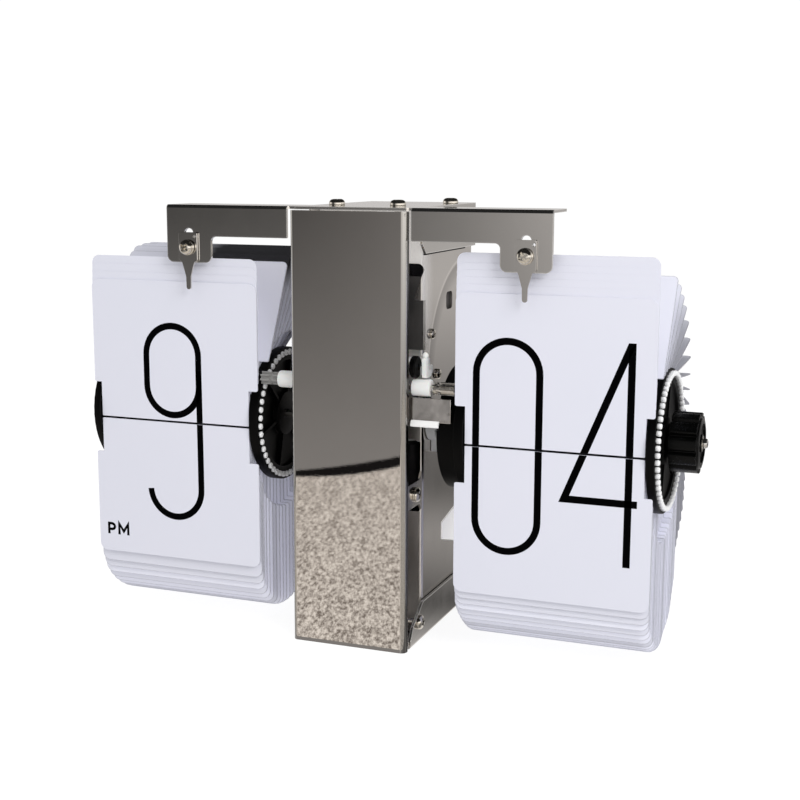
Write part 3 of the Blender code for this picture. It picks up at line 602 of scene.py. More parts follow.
def prism(name, outline, axis, low, high, mat=None):
    """Outline extruded along axis: (y, z) along X, (x, z) along Y and (x, y) along Z."""
    data = bmesh.new()
    ends = [
        [data.verts.new(on_axis(axis, along, spot)) for spot in outline]
        for along in (min(low, high), max(low, high))
    ]
    close_solid(data, *ends)
    return to_object(name, data, mat)


def block(name, x, y, z, mat=None):
    """Box over three (low, high) spans."""
    outline = [(x[0], y[0]), (x[1], y[0]), (x[1], y[1]), (x[0], y[1])]
    return prism(name, outline, "Z", z[0], z[1], mat)


def turned(name, profile, center, count, mat=None, axis="X"):
    """Profile of (position along the axis, radius) turned about an axis through center."""
    data = bmesh.new()
    rings = []
    for along, radius in profile:
        spots = circle(center, radius, count if radius > 0 else 1)
        rings.append([data.verts.new(on_axis(axis, along, spot)) for spot in spots])
    pairs = list(zip(rings, rings[1:]))
    if profile[0][1] > 0 and profile[-1][1] > 0:
        pairs.append((rings[-1], rings[0]))
    for first, second in pairs:
        if len(first) > 1 and len(second) > 1:
            bridge(data, first, second)
            continue
        for k in range(count):
            j = (k + 1) % count
            if len(first) == 1:
                data.faces.new((first[0], second[k], second[j]))
            else:
                data.faces.new((first[k], first[j], second[0]))
    return to_object(name, data, mat)


def tool(outline, axis, low, high, mat=None):
    """Prism to be joined or cut away."""
    return prism("tool", outline, axis, low, high, mat)


def turned_tool(profile, center, count, mat=None, axis="X"):
    return turned("tool", profile, center, count, mat, axis)


def bore(axis, center, radius, count, low, high):
    """Round hole to be cut."""
    return tool(circle(center, radius, count), axis, low, high)


def boolean(target, tools, operation):
    for item in tools:
        modifier = target.modifiers.new("b", "BOOLEAN")
        modifier.operation = operation
        modifier.object = item
        modifier.solver = "EXACT"
    graph = bpy.context.evaluated_depsgraph_get()
    mesh = bpy.data.meshes.new_from_object(target.evaluated_get(graph))
    target.modifiers.clear()
    old = target.data
    target.data = mesh
    bpy.data.meshes.remove(old)
    for item in tools:
        bpy.data.objects.remove(item, do_unlink=True)


def cut(target, *tools):
    boolean(target, tools, "DIFFERENCE")


def join(target, *tools):
    boolean(target, tools, "UNION")


def add_material(obj, mat):
    """Append a material slot and return its index."""
    obj.data.materials.append(mat)
    return len(obj.data.materials) - 1


def dress(obj, body, slot, *nodes, bevel=0.12, segments=3, angle=32):
    """Smooth shading, softened edges, the body it rides on and the CAD it replaces. slot is not
    used.
    """
    obj.data.shade_smooth()
    obj.data.set_sharp_from_angle(angle=math.radians(angle))
    if bevel:
        modifier = obj.modifiers.new("edges", "BEVEL")
        modifier.width = bevel * MM
        modifier.segments = segments
        modifier.limit_method = "ANGLE"
        modifier.angle_limit = math.radians(angle)
        modifier.miter_outer = "MITER_ARC"
        modifier.use_clamp_overlap = True
        modifier.harden_normals = False
        weighted = obj.modifiers.new("normals", "WEIGHTED_NORMAL")
        weighted.keep_sharp = False
        weighted.weight = 80
    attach(obj, body)
    if nodes:
        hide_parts(*nodes)


# ------------------------------------------------------------------ front cover

cover_profile = rounded(
    [
        (COLUMN_HALF, 2.5, 0), (COLUMN_HALF, 0, 1.8),
        (-COLUMN_LEFT, 0, 1.5), (-COLUMN_LEFT, 3.5, 0),
        (-COLUMN_LEFT + SHEET, 3.5, 0), (-COLUMN_LEFT + SHEET, SHEET, 0.5),
        (COLUMN_HALF - SHEET, SHEET, 0.8), (COLUMN_HALF - SHEET, 2.5, 0),
    ],
    10,
)
cover = prism("cover_sheet", cover_profile, "Z", 0.0, COVER_TOP, MIRROR)
cover_lip = rounded(
    [
        (0.35, COVER_TOP - 1.4, 0), (0.35, COVER_TOP, 0.9),
        (3.5, COVER_TOP, 0), (3.5, COVER_TOP - SHEET, 0),
        (1.6, COVER_TOP - SHEET, 0.3), (1.6, COVER_TOP - 1.4, 0),
    ]
)
join(cover, tool(cover_lip, "X", -COLUMN_LEFT + 0.5, COLUMN_HALF - 0.5, MIRROR))
flange_slot = add_material(cover, FLANGE_DARK_REFLECTION)
bend_slot = add_material(cover, BEND_DARK_REFLECTION)
# Painted reflection: the right flange and the side bends take the darker copies of the steel.
for face in cover.data.polygons:
    normal, middle = face.normal, face.center
    if normal.x > 0.97 and middle.x > (COLUMN_HALF - 0.3) * MM:
        face.material_index = flange_slot
    elif normal.y < -0.05 and any(
        side * normal.x > 0.1 and side * middle.x > 0.014 for side in (-1, 1)
    ):
        face.material_index = bend_slot
dress(cover, "frame", "polished_sheet_steel", "front_cover", bevel=0.08, angle=40)


# ------------------------------------------------------------------ base tray

BASE_SCREW = (11.2, 7.2)

tray_profile = rounded(
    [
        (-SIDE_OUT, BASE_HEIGHT, 0), (-SIDE_OUT, 0, 1.2),
        (SIDE_OUT, 0, 1.2), (SIDE_OUT, BASE_HEIGHT, 0),
        (SIDE_OUT - SHEET, BASE_HEIGHT, 0), (SIDE_OUT - SHEET, SHEET, 0.4),
        (-SIDE_OUT + SHEET, SHEET, 0.4), (-SIDE_OUT + SHEET, BASE_HEIGHT, 0),
    ]
)
tray = prism("tray_sheet", tray_profile, "Y", BASE_FRONT, DEPTH, ARM_STEEL)
# What is cut from the tray's front to leave its side walls sloping.
nose = rounded(
    [
        (BASE_FRONT - 1, -1, 0), (BASE_FRONT - 1, BASE_HEIGHT + 1, 0),
        (CHASSIS_FRONT + 1.5, BASE_HEIGHT + 1, 0), (BASE_FRONT + 2.2, 6.6, 2.5),
        (BASE_FRONT, 3.0, 2.0), (BASE_FRONT, -1, 0),
    ],
    8,
)
cut(
    tray,
    tool(nose, "X", -SIDE_OUT - 2, SIDE_OUT + 2),
    bore("X", BASE_SCREW, 1.5, 24, -22, -17),
    bore("X", BASE_SCREW, 1.5, 24, 17, 22),
)
dress(tray, "frame", "polished_sheet_steel", "base_tray", bevel=0.1)


# ------------------------------------------------------------------ chassis

MOVEMENT_SCREWS = (("upper", (25.2, 99.2)), ("lower", (31.0, 85.4)))

CHASSIS_BACK = DEPTH - 0.6
CHASSIS_INNER = CHASSIS_HALF - CHASSIS_T
chassis_profile = rounded(
    [
        (CHASSIS_HALF, CHASSIS_BACK, 0), (CHASSIS_HALF, FACE_Y, 1.1),
        (-CHASSIS_HALF, FACE_Y, 1.1), (-CHASSIS_HALF, CHASSIS_BACK, 0),
        (-CHASSIS_INNER, CHASSIS_BACK, 0), (-CHASSIS_INNER, FACE_Y + CHASSIS_T, 0.3),
        (CHASSIS_INNER, FACE_Y + CHASSIS_T, 0.3), (CHASSIS_INNER, CHASSIS_BACK, 0),
    ],
    8,
)
chassis = prism("chassis_sheet", chassis_profile, "Z", SHEET + GAP, CHASSIS_TOP, PLATE_STEEL)
# Upper window in the front face, (x, z, radius).
window_top = rounded(
    [
        (-16.9, 94.7, 1), (18.4, 94.7, 0.6), (18.4, 110.5, 0), (15.0, 110.7, 0),
        (18.0, 120.1, 0.6), (17.4, 122.1, 1.6), (-16.9, 122.1, 2.0),
    ],
    5,
)
window_low = rounded_rect((-16.9, 17.2), (42.0, 65.6), 1)
# Window in both side walls, (y, z).
side_window = [
    (36.4, 27.8), (36.4, 34.2), (47.5, 36.4), (58.0, 38.5), (58.0, 21.7), (47.5, 24.7),
]
side_slot = rounded_rect((39.6, 45.8), (105.6, 111.4), 1.5)
cut(
    chassis,
    tool(window_top, "Y", FACE_Y - 1, FACE_Y + 2),
    tool(window_low, "Y", FACE_Y - 1, FACE_Y + 2),
    tool(side_window, "X", -20, 20),
    tool(side_slot, "X", -20, 20),
    bore("X", WHEEL, 4.0, 40, -20, 20),
    *[bore("X", spot, 1.25, 20, 15, 20) for _, spot in MOVEMENT_SCREWS],
)
face_slot = add_material(chassis, FACE_STEEL)
for face in chassis.data.polygons:
    if face.normal.y < -0.8 and face.center.y < world_y(FACE_Y + 0.4):
        face.material_index = face_slot
dress(chassis, "frame", "polished_sheet_steel", "chassis", bevel=0.1)


# ------------------------------------------------------------------ top bracket

# (name, (x, y), turn of the recess in degrees)
TOP_SCREWS = (
    ("top_screw_front_left", (-12.9, 21.0), 12),
    ("top_screw_front_right", (8.1, 21.0), 47),
    ("top_screw_rear", (15.5, 50.5), 70),
)
UNDERSIDE = HEIGHT - SHEET

bracket_outline = [
    (-ARM_HALF, ARM_DEPTH), (-ARM_HALF, 2.2), (ARM_HALF, 2.2), (ARM_HALF, ARM_DEPTH),
    (SIDE_OUT, ARM_DEPTH), (SIDE_OUT, DEPTH), (-SIDE_OUT, DEPTH), (-SIDE_OUT, ARM_DEPTH),
]
bracket = prism("bracket_sheet", bracket_outline, "Z", UNDERSIDE, HEIGHT, ARM_STEEL)
bridge_x = (-ARM_INNER + 2.3, ARM_INNER - 2.3)
join(bracket, block("tool", bridge_x, (ARM_FRONT, 3.0), (UNDERSIDE, HEIGHT), ARM_STEEL))
# The bend along the front of each arm, (y, z, radius).
arm_bend = rounded(
    [
        (ARM_FRONT, FLANGE_Z + 0.1, 0), (ARM_FRONT, HEIGHT, 1.2),
        (2.9, HEIGHT, 0), (2.9, UNDERSIDE, 0),
        (ARM_FRONT + SHEET, UNDERSIDE, 0.3), (ARM_FRONT + SHEET, FLANGE_Z + 0.1, 0),
    ],
    8,
)
# The flange down each side of the column, (y, z).
side_flange = [
    (16.6, HEIGHT - 0.2), (DEPTH, HEIGHT - 0.2), (DEPTH, SIDE_FLANGE_Z),
    (16.6, SIDE_FLANGE_Z), (13.4, 128.5), (13.4, HEIGHT - 0.2),
]
for side in (-1, 1):
    root = side * ARM_INNER - (0.45 if side < 0 else 0.8)
    front_flange = rounded(
        [
            (root, FLANGE_Z, 0.5), (root, FLANGE_ROOT_Z, 0), (side * ARM_HALF, FLANGE_ROOT_Z, 0),
            (side * ARM_HALF, TAB_Z, 2.2), (side * TAB_IN, TAB_Z, 2.2),
            (side * TAB_IN, FLANGE_Z, 1.6),
        ],
        8,
    )
    join(
        bracket,
        tool(arm_bend, "X", root, side * ARM_HALF, ARM_STEEL),
        tool(front_flange, "Y", ARM_FRONT, ARM_FRONT + SHEET, ARM_STEEL),
        tool(side_flange, "X", side * (SIDE_OUT - SHEET), side * SIDE_OUT, ARM_STEEL),
    )
    x = side * CATCH_X
    catch_slot = rounded_rect((x - 1.5, x + 1.5), (124.6, 132.5), 1.4, 8)
    cut(
        bracket,
        tool(catch_slot, "Y", ARM_FRONT - 1, ARM_FRONT + 2),
        bore("Y", (x + PEEP_SHIFT, PEEP_Z), PEEP_R, 16, ARM_FRONT - 1, ARM_FRONT + 2),
    )
rear_slot = rounded_rect((14.5, 18.0), (44.2, 45.5), 0.6, 4)
cut(
    bracket,
    *[bore("Z", spot, 1.35, 24, HEIGHT - 3, HEIGHT + 2) for _, spot, _ in TOP_SCREWS],
    tool(rear_slot, "Z", HEIGHT - 3, HEIGHT + 2),
)
dress(bracket, "frame", "polished_sheet_steel", "top_bracket", bevel=0.28)


# ------------------------------------------------------------------ guard, clips and fingers

guard_profile = rounded(
    [
        (18.4, 3.9, 0.8), (32.1, 3.9, 0), (32.1, 4.7, 0),
        (19.2, 4.7, 0.2), (19.2, 22.4, 0), (18.4, 22.4, 0),
    ]
)
guard = prism("guard_sheet", guard_profile, "Z", 74.4, 81.9, GUARD_STEEL)
dress(guard, "frame", "polished_sheet_steel", "transfer_guard")

guard_lip_profile = rounded(
    [
        (2.9, 72.9, 0.2), (2.9, 73.5, 0), (3.75, 74.9, 0),
        (3.88, 74.9, 0), (3.88, 73.8, 0), (3.4, 72.9, 0),
    ],
    4,
)
guard_lip = prism("guard_edge_lip", guard_lip_profile, "X", 19.3, 28.4, LIP_WHITE)
dress(guard_lip, "frame", "white_acetal", bevel=0)

COVER_SCREW = (11.6, 49.2)
clip_outline = rounded(
    [
        (4.0, 45.2, 1), (4.0, 53.2, 1), (15.9, 53.2, 1),
        (FACE_Y, 55.6, 0), (FACE_Y, 42.8, 0), (15.9, 45.2, 1),
    ],
    5,
)
for side, label in SIDES:
    clip = prism("clip_sheet_" + label, clip_outline, "X", side * 17.0, side * 17.8, PLATE_STEEL)
    cut(clip, bore("X", COVER_SCREW, 1.35, 24, side * 16, side * 19))
    dress(clip, "frame", "polished_sheet_steel", "cover_clip_" + label, bevel=0.1)

# Catch finger, (x from the screw, z, radius): a plate with a narrow tongue below.
FINGER = (
    (-3.3, 122.3, 0.5), (-3.3, 131.3, 0.5), (3.3, 131.3, 0.5), (3.3, 122.3, 0.5),
    (2.2, 121.7, 0.9), (0.9, 117.2, 1.0), (0.8, 113.0, 0.75),
    (-0.8, 113.0, 0.75), (-0.9, 117.2, 1.0), (-2.2, 121.7, 0.9),
)
for side, label in ((-1, "hour"), (1, "minute")):
    x = side * CATCH_X
    finger_outline = rounded([(x + shift, z, radius) for shift, z, radius in FINGER], 5)
    finger = prism(label + "_finger_sheet", finger_outline, "Y", 0.1, 0.7, FINGER_STEEL)
    cut(
        finger,
        bore("Y", (x, CATCH_Z), 1.35, 24, -1, 2),
        bore("Y", (x + PEEP_SHIFT, PEEP_Z), PEEP_R, 16, -1, 2),
    )
    dress(finger, "frame", "polished_sheet_steel", label + "_catch_finger", bevel=0.06)


# ------------------------------------------------------------------ screws

THREAD_PITCH = 0.5
CATCH_SIZE = {"head_r": 2.3, "head_h": 1.75, "shank_r": 1.2, "shank": 4.6, "washer": 2.5}
TOP_SIZE = {"head_r": 2.6, "head_h": 1.85, "shank_r": 1.15, "shank": 4.7}
SIDE_SIZE = {"head_r": 2.4, "head_h": 1.7, "shank_r": 1.15, "shank": 3.8}
SMALL_SIZE = {"head_r": 1.7, "head_h": 1.3, "shank_r": 1.0, "shank": 2.9}


def screw(name, seat, axis, out, tilt, head_r, head_h, shank_r, shank, washer=None):
    """Pan-head screw with a cross recess, a threaded shank and perhaps a washer.

    seat is the point under the head, out is the head's direction along the axis, 1 or -1,
    tilt turns the recess in degrees, and washer is the washer's radius.
    """
    center = list(seat)
    base = center.pop("XYZ".index(axis))
    root_r = shank_r * 0.86
    profile = [
        (base - out * shank, 0),
        (base - out * shank, shank_r * 0.6),
        (base - out * (shank - 0.4), root_r),
    ]
    for k in range(int((shank - 0.6) / THREAD_PITCH)):
        along = shank - 0.5 - THREAD_PITCH * k
        profile.append((base - out * along, root_r))
        profile.append((base - out * (along - THREAD_PITCH * 0.5), shank_r))
    profile.append((base, shank_r))
    if washer:
        profile += [
            (base, washer - 0.05),
            (base + out * 0.05, washer),
            (base + out * 0.4, washer),
            (base + out * 0.47, washer - 0.08),
            (base + out * 0.5, head_r + 0.05),
        ]
        base += out * 0.5
    profile += [(base, head_r - 0.1), (base + out * 0.12, head_r)]
    for k in range(1, 9):
        angle = math.radians(90 * k / 9)
        rise = head_h * 0.28 + head_h * 0.72 * math.sin(angle)
        profile.append((base + out * rise, head_r * (0.30 + 0.70 * math.cos(angle) ** 0.8)))
    profile += [(base + out * head_h, head_r * 0.2), (base + out * head_h, 0)]
    # Points that all but repeat the one before would make slivers.
    profile = [profile[0]] + [
        point for last, point in zip(profile, profile[1:])
        if math.hypot(point[0] - last[0], point[1] - last[1]) > 0.004
    ]
    made = turned(name + "_detail", profile, center, 48, SCREW_STEEL, axis)

    half, arm = head_r * 0.13, head_r * 0.64
    cross = [
        (half, arm), (-half, arm), (-half, half), (-arm, half), (-arm, -half), (-half, -half),
        (-half, -arm), (half, -arm), (half, -half), (arm, -half), (arm, half), (half, half),
    ]
    cosine, sine = math.cos(math.radians(tilt)), math.sin(math.radians(tilt))
    recess = [
        (center[0] + p * cosine - q * sine, center[1] + p * sine + q * cosine) for p, q in cross
    ]
    cut(made, tool(recess, axis, base + out * head_h * 0.3, base + out * (head_h + 1)))
    dress(made, "frame", "screw_steel", name, bevel=0.05, segments=2, angle=38)


screw("hour_catch_screw", (-CATCH_X, -0.2, CATCH_Z), "Y", out=-1, tilt=52, **CATCH_SIZE)
screw("minute_catch_screw", (CATCH_X, -0.2, CATCH_Z), "Y", out=-1, tilt=28, **CATCH_SIZE)
for name, spot, tilt in TOP_SCREWS:
    screw(name, (*spot, HEIGHT + 0.02), "Z", out=1, tilt=tilt, **TOP_SIZE)
for side, label in SIDES:
    base_seat = (side * (SIDE_OUT + 0.02), *BASE_SCREW)
    screw("base_screw_" + label, base_seat, "X", out=side, tilt=20, **SIDE_SIZE)
    cover_seat = (side * 17.82, *COVER_SCREW)
    screw("cover_screw_" + label, cover_seat, "X", out=side, tilt=60, **SIDE_SIZE)
for label, spot in MOVEMENT_SCREWS:
    seat = (CHASSIS_HALF + 0.02, *spot)
    screw("movement_screw_" + label, seat, "X", out=1, tilt=15, **SMALL_SIZE)


# ------------------------------------------------------------------ card wheels

MINUTE_PINS, HOUR_PINS = 60, 48
# Angle of the first pin in degrees, up from the foremost point of the wheel.
MINUTE_FIRST, HOUR_FIRST = -1.5, -3.0


def pin(angle):
    """(y, z) of a pin at an angle from the front of the wheel, rising over the top."""
    turn = math.radians(angle)
    return WHEEL_Y - PIN_R * math.cos(turn), WHEEL_Z + PIN_R * math.sin(turn)


def wheel_disc(label, place_name, card_face, rim_face):
    """Rim, dished web with six ribs, and boss, between the x of its two faces."""
    out = 1 if rim_face > card_face else -1
    inner = SHAFT_R + 0.03
    web = card_face + out * 1.5
    profile = [
        (card_face, inner), (card_face, DISC_R - 0.15), (card_face + out * 0.15, DISC_R),
        (rim_face - out * 0.35, DISC_R), (rim_face - out * 0.1, DISC_R - 0.12),
        (rim_face, DISC_R - 0.4), (rim_face, 18.4), (rim_face - out * 0.1, 18.1),
        (web + out * 0.15, 17.85), (web, 17.6), (web, 7.6), (web + out * 0.15, 7.4),
        (rim_face - out * 0.1, 7.2), (rim_face, 7.0), (rim_face, inner),
    ]
    disc = turned(f"{label}_{place_name}_wheel", profile, WHEEL, 120, BLACK)
    ribs = []
    for k in range(6):
        turn = cmath.rect(1, math.radians(60 * k + 15))
        points = [
            complex(radius, width) * turn
            for radius, width in ((7.0, -0.45), (18.2, -0.45), (18.2, 0.45), (7.0, 0.45))
        ]
        outline = [(WHEEL_Y + point.real, WHEEL_Z + point.imag) for point in points]
        ribs.append(tool(outline, "X", card_face + out * 1.0, rim_face - out * 0.5, BLACK))
    join(disc, *ribs)
    dress(disc, label + "_wheel", "black_plastic", f"{label}_disc_{place_name}", bevel=0)


def pin_ring(label, count, first, spans, radius):
    """Rounded pin ends standing out of the rims. A span is (root x, end x)."""
    data = bmesh.new()
    for k in range(count):
        center = pin(first + 360.0 * k / count)
        for root, end in spans:
            out = 1 if end > root else -1
            profile = [
                (root, radius), (end - out * 0.45, radius), (end - out * 0.2, radius * 0.92),
                (end - out * 0.06, radius * 0.7), (end, radius * 0.35),
            ]
            rings = [
                [data.verts.new((along, *spot)) for spot in circle(center, ring_r, 12)]
                for along, ring_r in profile
            ]
            tube_through(data, rings)
    ring = to_object(label + "_pin_ends", data, PIN_WHITE)
    ring.data.shade_smooth()
    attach(ring, label + "_wheel")


for side, label in ((1, "minute"), (-1, "hour")):
    wheel_disc(label, "inner", side * DISC_IN[1], side * DISC_IN[0])
    wheel_disc(label, "outer", side * DISC_OUT[0], side * DISC_OUT[1])
pin_ring("minute", MINUTE_PINS, MINUTE_FIRST, spans=((95.0, 96.6), (33.5, 33.05)), radius=0.86)
pin_ring("hour", HOUR_PINS, HOUR_FIRST, spans=((-33.5, -32.45), (-95.0, -95.9)), radius=1.0)

# Hub between the discs, thinner along its middle.
for side, label in ((1, "minute"), (-1, "hour")):
    low, high = sorted((side * (DISC_IN[1] + 0.05), side * (DISC_OUT[0] - 0.05)))
    hub_profile = [
        (low, 1.6), (low, 7.9), (low + 0.4, 8.0), (low + 3.0, 8.0), (low + 3.6, 7.3),
        (high - 3.6, 7.3), (high - 3.0, 8.0), (high - 0.4, 8.0), (high, 7.9), (high, 1.6),
    ]
    hub = turned(label + "_spindle_tube", hub_profile, WHEEL, 72, BLACK)
    dress(hub, label + "_wheel", "black_plastic", label + "_hub", bevel=0)

# Carry disc: two opposite teeth on its rim and a ring sunk in its inner face.
carry_back = DISC_IN[0] - 0.1
carry = prism(
    "minute_carry_plate", circle(WHEEL, CARRY_R, 144), "X", 27.2, carry_back, BLACK
)
CARRY_TOOTH = (
    (CARRY_R - 2, -1.2), (CARRY_TIP - 1.5, -1.0), (CARRY_TIP, -0.4),
    (CARRY_TIP, 0.4), (CARRY_TIP - 1.5, 1.0), (CARRY_R - 2, 1.2),
)
for degrees in (82.5, 262.5):
    cosine, sine = math.cos(math.radians(degrees)), math.sin(math.radians(degrees))
    tooth = [
        (WHEEL_Y - reach * cosine + width * sine, WHEEL_Z + reach * sine + width * cosine)
        for reach, width in CARRY_TOOTH
    ]
    join(carry, tool(tooth, "X", 32.4, carry_back, BLACK))
cut(
    carry,
    bore("X", WHEEL, 1.6, 32, 25, 36),
    turned_tool([(26.9, 6.0), (26.9, 14.6), (28.6, 14.3), (28.6, 6.3)], WHEEL, 96),
)
dress(carry, "minute_wheel", "black_plastic", "minute_carry_disc", angle=40)


# ------------------------------------------------------------------ shafts and set knob

# (label, inner groove, x of the clip, low end, points past the groove up to the high end)
SHAFTS = (
    (
        "minute", (12.95, 13.65), 13.3, 12.2,
        [(104.6, 1.5), (105.0, 1.35), (105.3, 1.5), (106.65, 1.5), (106.95, 1.35), (107.1, 1.0)],
    ),
    ("hour", (-13.65, -12.95), -13.3, -96.6, [(-12.5, 1.5), (-12.2, 1.2)]),
)
CLIP_GAP_HALF = math.radians(35)

for label, groove, clip_x, low, ending in SHAFTS:
    profile = [(low, 0), (low, 1.2), (low + 0.3, 1.5)]
    profile += [(groove[0], 1.5), (groove[0], 1.1), (groove[1], 1.1), (groove[1], 1.5)]
    profile += ending + [(ending[-1][0], 0)]
    axle = turned(label + "_axle", profile, WHEEL, 48, SHAFT_STEEL)
    dress(axle, label + "_wheel", "screw_steel", label + "_shaft", bevel=0, angle=30)

    sweep = 2 * math.pi - 2 * CLIP_GAP_HALF
    angles = [CLIP_GAP_HALF + sweep * k / 40 for k in range(41)]
    outline = [polar(WHEEL, 2.9, angle) for angle in angles]
    outline += [polar(WHEEL, 1.3, angle) for angle in reversed(angles)]
    ring = prism(label + "_e_clip", outline, "X", clip_x - 0.25, clip_x + 0.25, SCREW_STEEL)
    dress(ring, label + "_wheel", "screw_steel", label + "_shaft_clip", bevel=0.06)

# Set knob: eleven rounded flutes between broad ribs, a bevelled face and a small nut.
FLUTES = 11
# One rib and flute, (fraction of the pitch, radius).
FLUTE = (
    (0.00, 9.25), (0.10, 9.3), (0.30, 9.3), (0.50, 9.3), (0.60, 9.25), (0.66, 9.0),
    (0.70, 8.5), (0.76, 8.2), (0.80, 8.15), (0.84, 8.2), (0.90, 8.5), (0.94, 9.0),
)
knob_outline = [
    polar(WHEEL, radius, 2 * math.pi * (k + part) / FLUTES)
    for k in range(FLUTES)
    for part, radius in FLUTE
]
knob_collar = [(95.5, 0), (95.5, 5.4), (95.7, 5.6), (97.0, 5.8), (97.0, 0)]
knob_face = [(104.4, 0), (104.4, 7.9), (105.0, 7.9), (105.35, 7.6), (105.5, 6.9), (105.5, 0)]
knob = prism("knob_body", knob_outline, "X", 96.7, 104.9, KNOB_BLACK)
join(
    knob,
    turned_tool(knob_collar, WHEEL, 72, KNOB_BLACK),
    turned_tool(knob_face, WHEEL, 96, KNOB_BLACK),
)
cut(
    knob,
    bore("X", WHEEL, 1.6, 32, 94, 108),
    turned_tool([(104.9, 2.8), (104.9, 5.9), (106.5, 6.3), (106.5, 2.4)], WHEEL, 96),
)
dress(knob, "minute_wheel", "black_plastic", "set_knob", bevel=0.18, angle=42)
nut = prism("knob_nut", circle(WHEEL, 2.35, 6), "X", 105.0, 105.65, SCREW_STEEL)
cut(nut, bore("X", WHEEL, 1.55, 32, 104, 108))
dress(nut, "minute_wheel", "screw_steel", bevel=0.08)


# ------------------------------------------------------------------ gears and transfer shaft

# One gear tooth, (fraction of the pitch, height as a share of addendum or dedendum).
GEAR_TOOTH = (
    (-0.30, -1.0), (-0.24, -0.6), (-0.20, 0.0), (-0.16, 0.6), (-0.11, 1.0),
    (0.11, 1.0), (0.16, 0.6), (0.20, 0.0), (0.24, -0.6), (0.30, -1.0),
)


def gear(
    name, center, low, high, mat, teeth, pitch_r, addendum, dedendum, shaft_r=None, phase=0.0
):
    outline = []
    for k in range(teeth):
        for part, share in GEAR_TOOTH:
            radius = pitch_r + share * (addendum if share > 0 else dedendum)
            angle = 2 * math.pi * (k + part) / teeth + phase
            outline.append(polar(center, radius, angle))
    made = prism(name, outline, "X", low, high, mat)
    if shaft_r:
        cut(made, bore("X", center, shaft_r + 0.05, 32, low - 1, high + 1))
    return made


DRIVE_TEETH = {"addendum": 0.3, "dedendum": 0.55}
drive = gear(
    "minute_drive_gear", WHEEL, 14.2, 16.4, WHITE,
    teeth=24, pitch_r=6.0, shaft_r=SHAFT_R + 0.03, **DRIVE_TEETH,
)
dress(drive, "minute_wheel", "white_acetal", "minute_gear", bevel=0.07, angle=40)
PINION = (WHEEL_Y, WHEEL_Z + 9.75)
pinion = gear(
    "brass_pinion", PINION, 14.2, 16.4, BRASS, teeth=12, pitch_r=3.0, **DRIVE_TEETH
)
pinion_stem = [(8.6, 0), (8.6, 0.8), (8.8, 1.0), (14.6, 1.0), (14.6, 0)]
join(pinion, turned_tool(pinion_stem, PINION, 32, BRASS))
dress(pinion, "drive_pinion", "brass", "drive_pinion", bevel=0.05, angle=40)

rod_profile = [(-32.7, 0), (-32.7, 0.6), (-32.4, 0.9), (32.6, 0.9), (32.9, 0.6), (32.9, 0)]
rod = turned("transfer_rod", rod_profile, TRANSFER, 40, SHAFT_STEEL)
dress(rod, "transfer", "screw_steel", "transfer_shaft", bevel=0)
# (label, low x, high x, material, the waist's low and high x)
for label, low, high, mat, waist in (
    ("right", 26.0, 33.0, PINION_BRIGHT, (27.2, 28.3)),
    ("left", -32.8, -26.9, GREY, (-29.5, -28.6)),
):
    star = gear(
        "transfer_star_" + label, TRANSFER, low, high, mat,
        teeth=8, pitch_r=1.8, addendum=0.35, dedendum=0.4, shaft_r=0.9, phase=0.2,
    )
    groove = [(waist[0], 1.5), (waist[0], 6.0), (waist[1], 6.0), (waist[1], 1.5)]
    cut(star, turned_tool(groove, TRANSFER, 48))
    dress(star, "transfer", "grey_acetal", "transfer_pinion_" + label, bevel=0.1, angle=40)
for side, label, start, length in ((1, "right", 19.3, 5.9), (-1, "left", 19.85, 6.75)):
    near, far = side * start, side * (start + length)
    bush_profile = [
        (near, 0.96), (near, 2.6), (near + side * 0.1, 2.7),
        (far - side * 0.5, 2.7), (far - side * 0.15, 2.6), (far, 2.3), (far, 0.96),
    ]
    bush = turned("transfer_sleeve_" + label, bush_profile, TRANSFER, 56, WHITE)
    dress(bush, "frame", "white_acetal", "transfer_bush_" + label, bevel=0)

# Bracket behind the transfer shaft: a hollowed block with an ear on the right and two feet.
CARRIER_BACK = FACE_Y - 0.05
carrier_outline = rounded(
    [(9.3, 82.3, 0.6), (9.3, 92.6, 1.0), (CARRIER_BACK, 92.6, 0.6), (CARRIER_BACK, 82.3, 0.6)], 5
)
carrier = prism("transfer_carrier", carrier_outline, "X", -20.2, 20.4, WHITE)
cut(carrier, tool(rounded_rect((-15, 15), (84, 90.5), 1), "Y", 8, 13.4))
ear = rounded(
    [
        (4.9, 88.0, 0.4), (4.9, 94.2, 0.7), (7.0, 94.2, 0.7),
        (7.0, 90.4, 0.4), (9.8, 90.2, 0.3), (9.8, 88.0, 0.5),
    ],
    5,
)
foot = rounded([(7.6, 88.4, 0.5), (7.6, 91.2, 0.8), (13.6, 91.2, 0.8), (13.6, 88.4, 0.5)], 5)
ear_ball = [
    (22.1, 0), (22.3, 0.6), (22.7, 0.95), (23.15, 1.05), (23.6, 0.9), (23.95, 0.5), (24.1, 0),
]
join(
    carrier,
    tool(ear, "X", 22.4, 23.8, WHITE),
    tool(foot, "X", 18.4, 22.8, WHITE),
    turned_tool(ear_ball, (5.95, 94.9), 32, WHITE),
    tool(foot, "X", -20.2, -18.4, WHITE),
)
dress(carrier, "frame", "white_acetal", "transfer_bracket", bevel=0.2, angle=40)
plug_profile = [
    (18.9, 0), (18.9, 3.2), (19.1, 3.4), (20.5, 3.4), (20.8, 3.1), (20.8, 1.2), (20.5, 1.0),
    (20.5, 0),
]
plug = turned("carrier_plug", plug_profile, (5.9, 91.2), 48, BLACK)
dress(plug, "frame", "black_plastic", bevel=0)

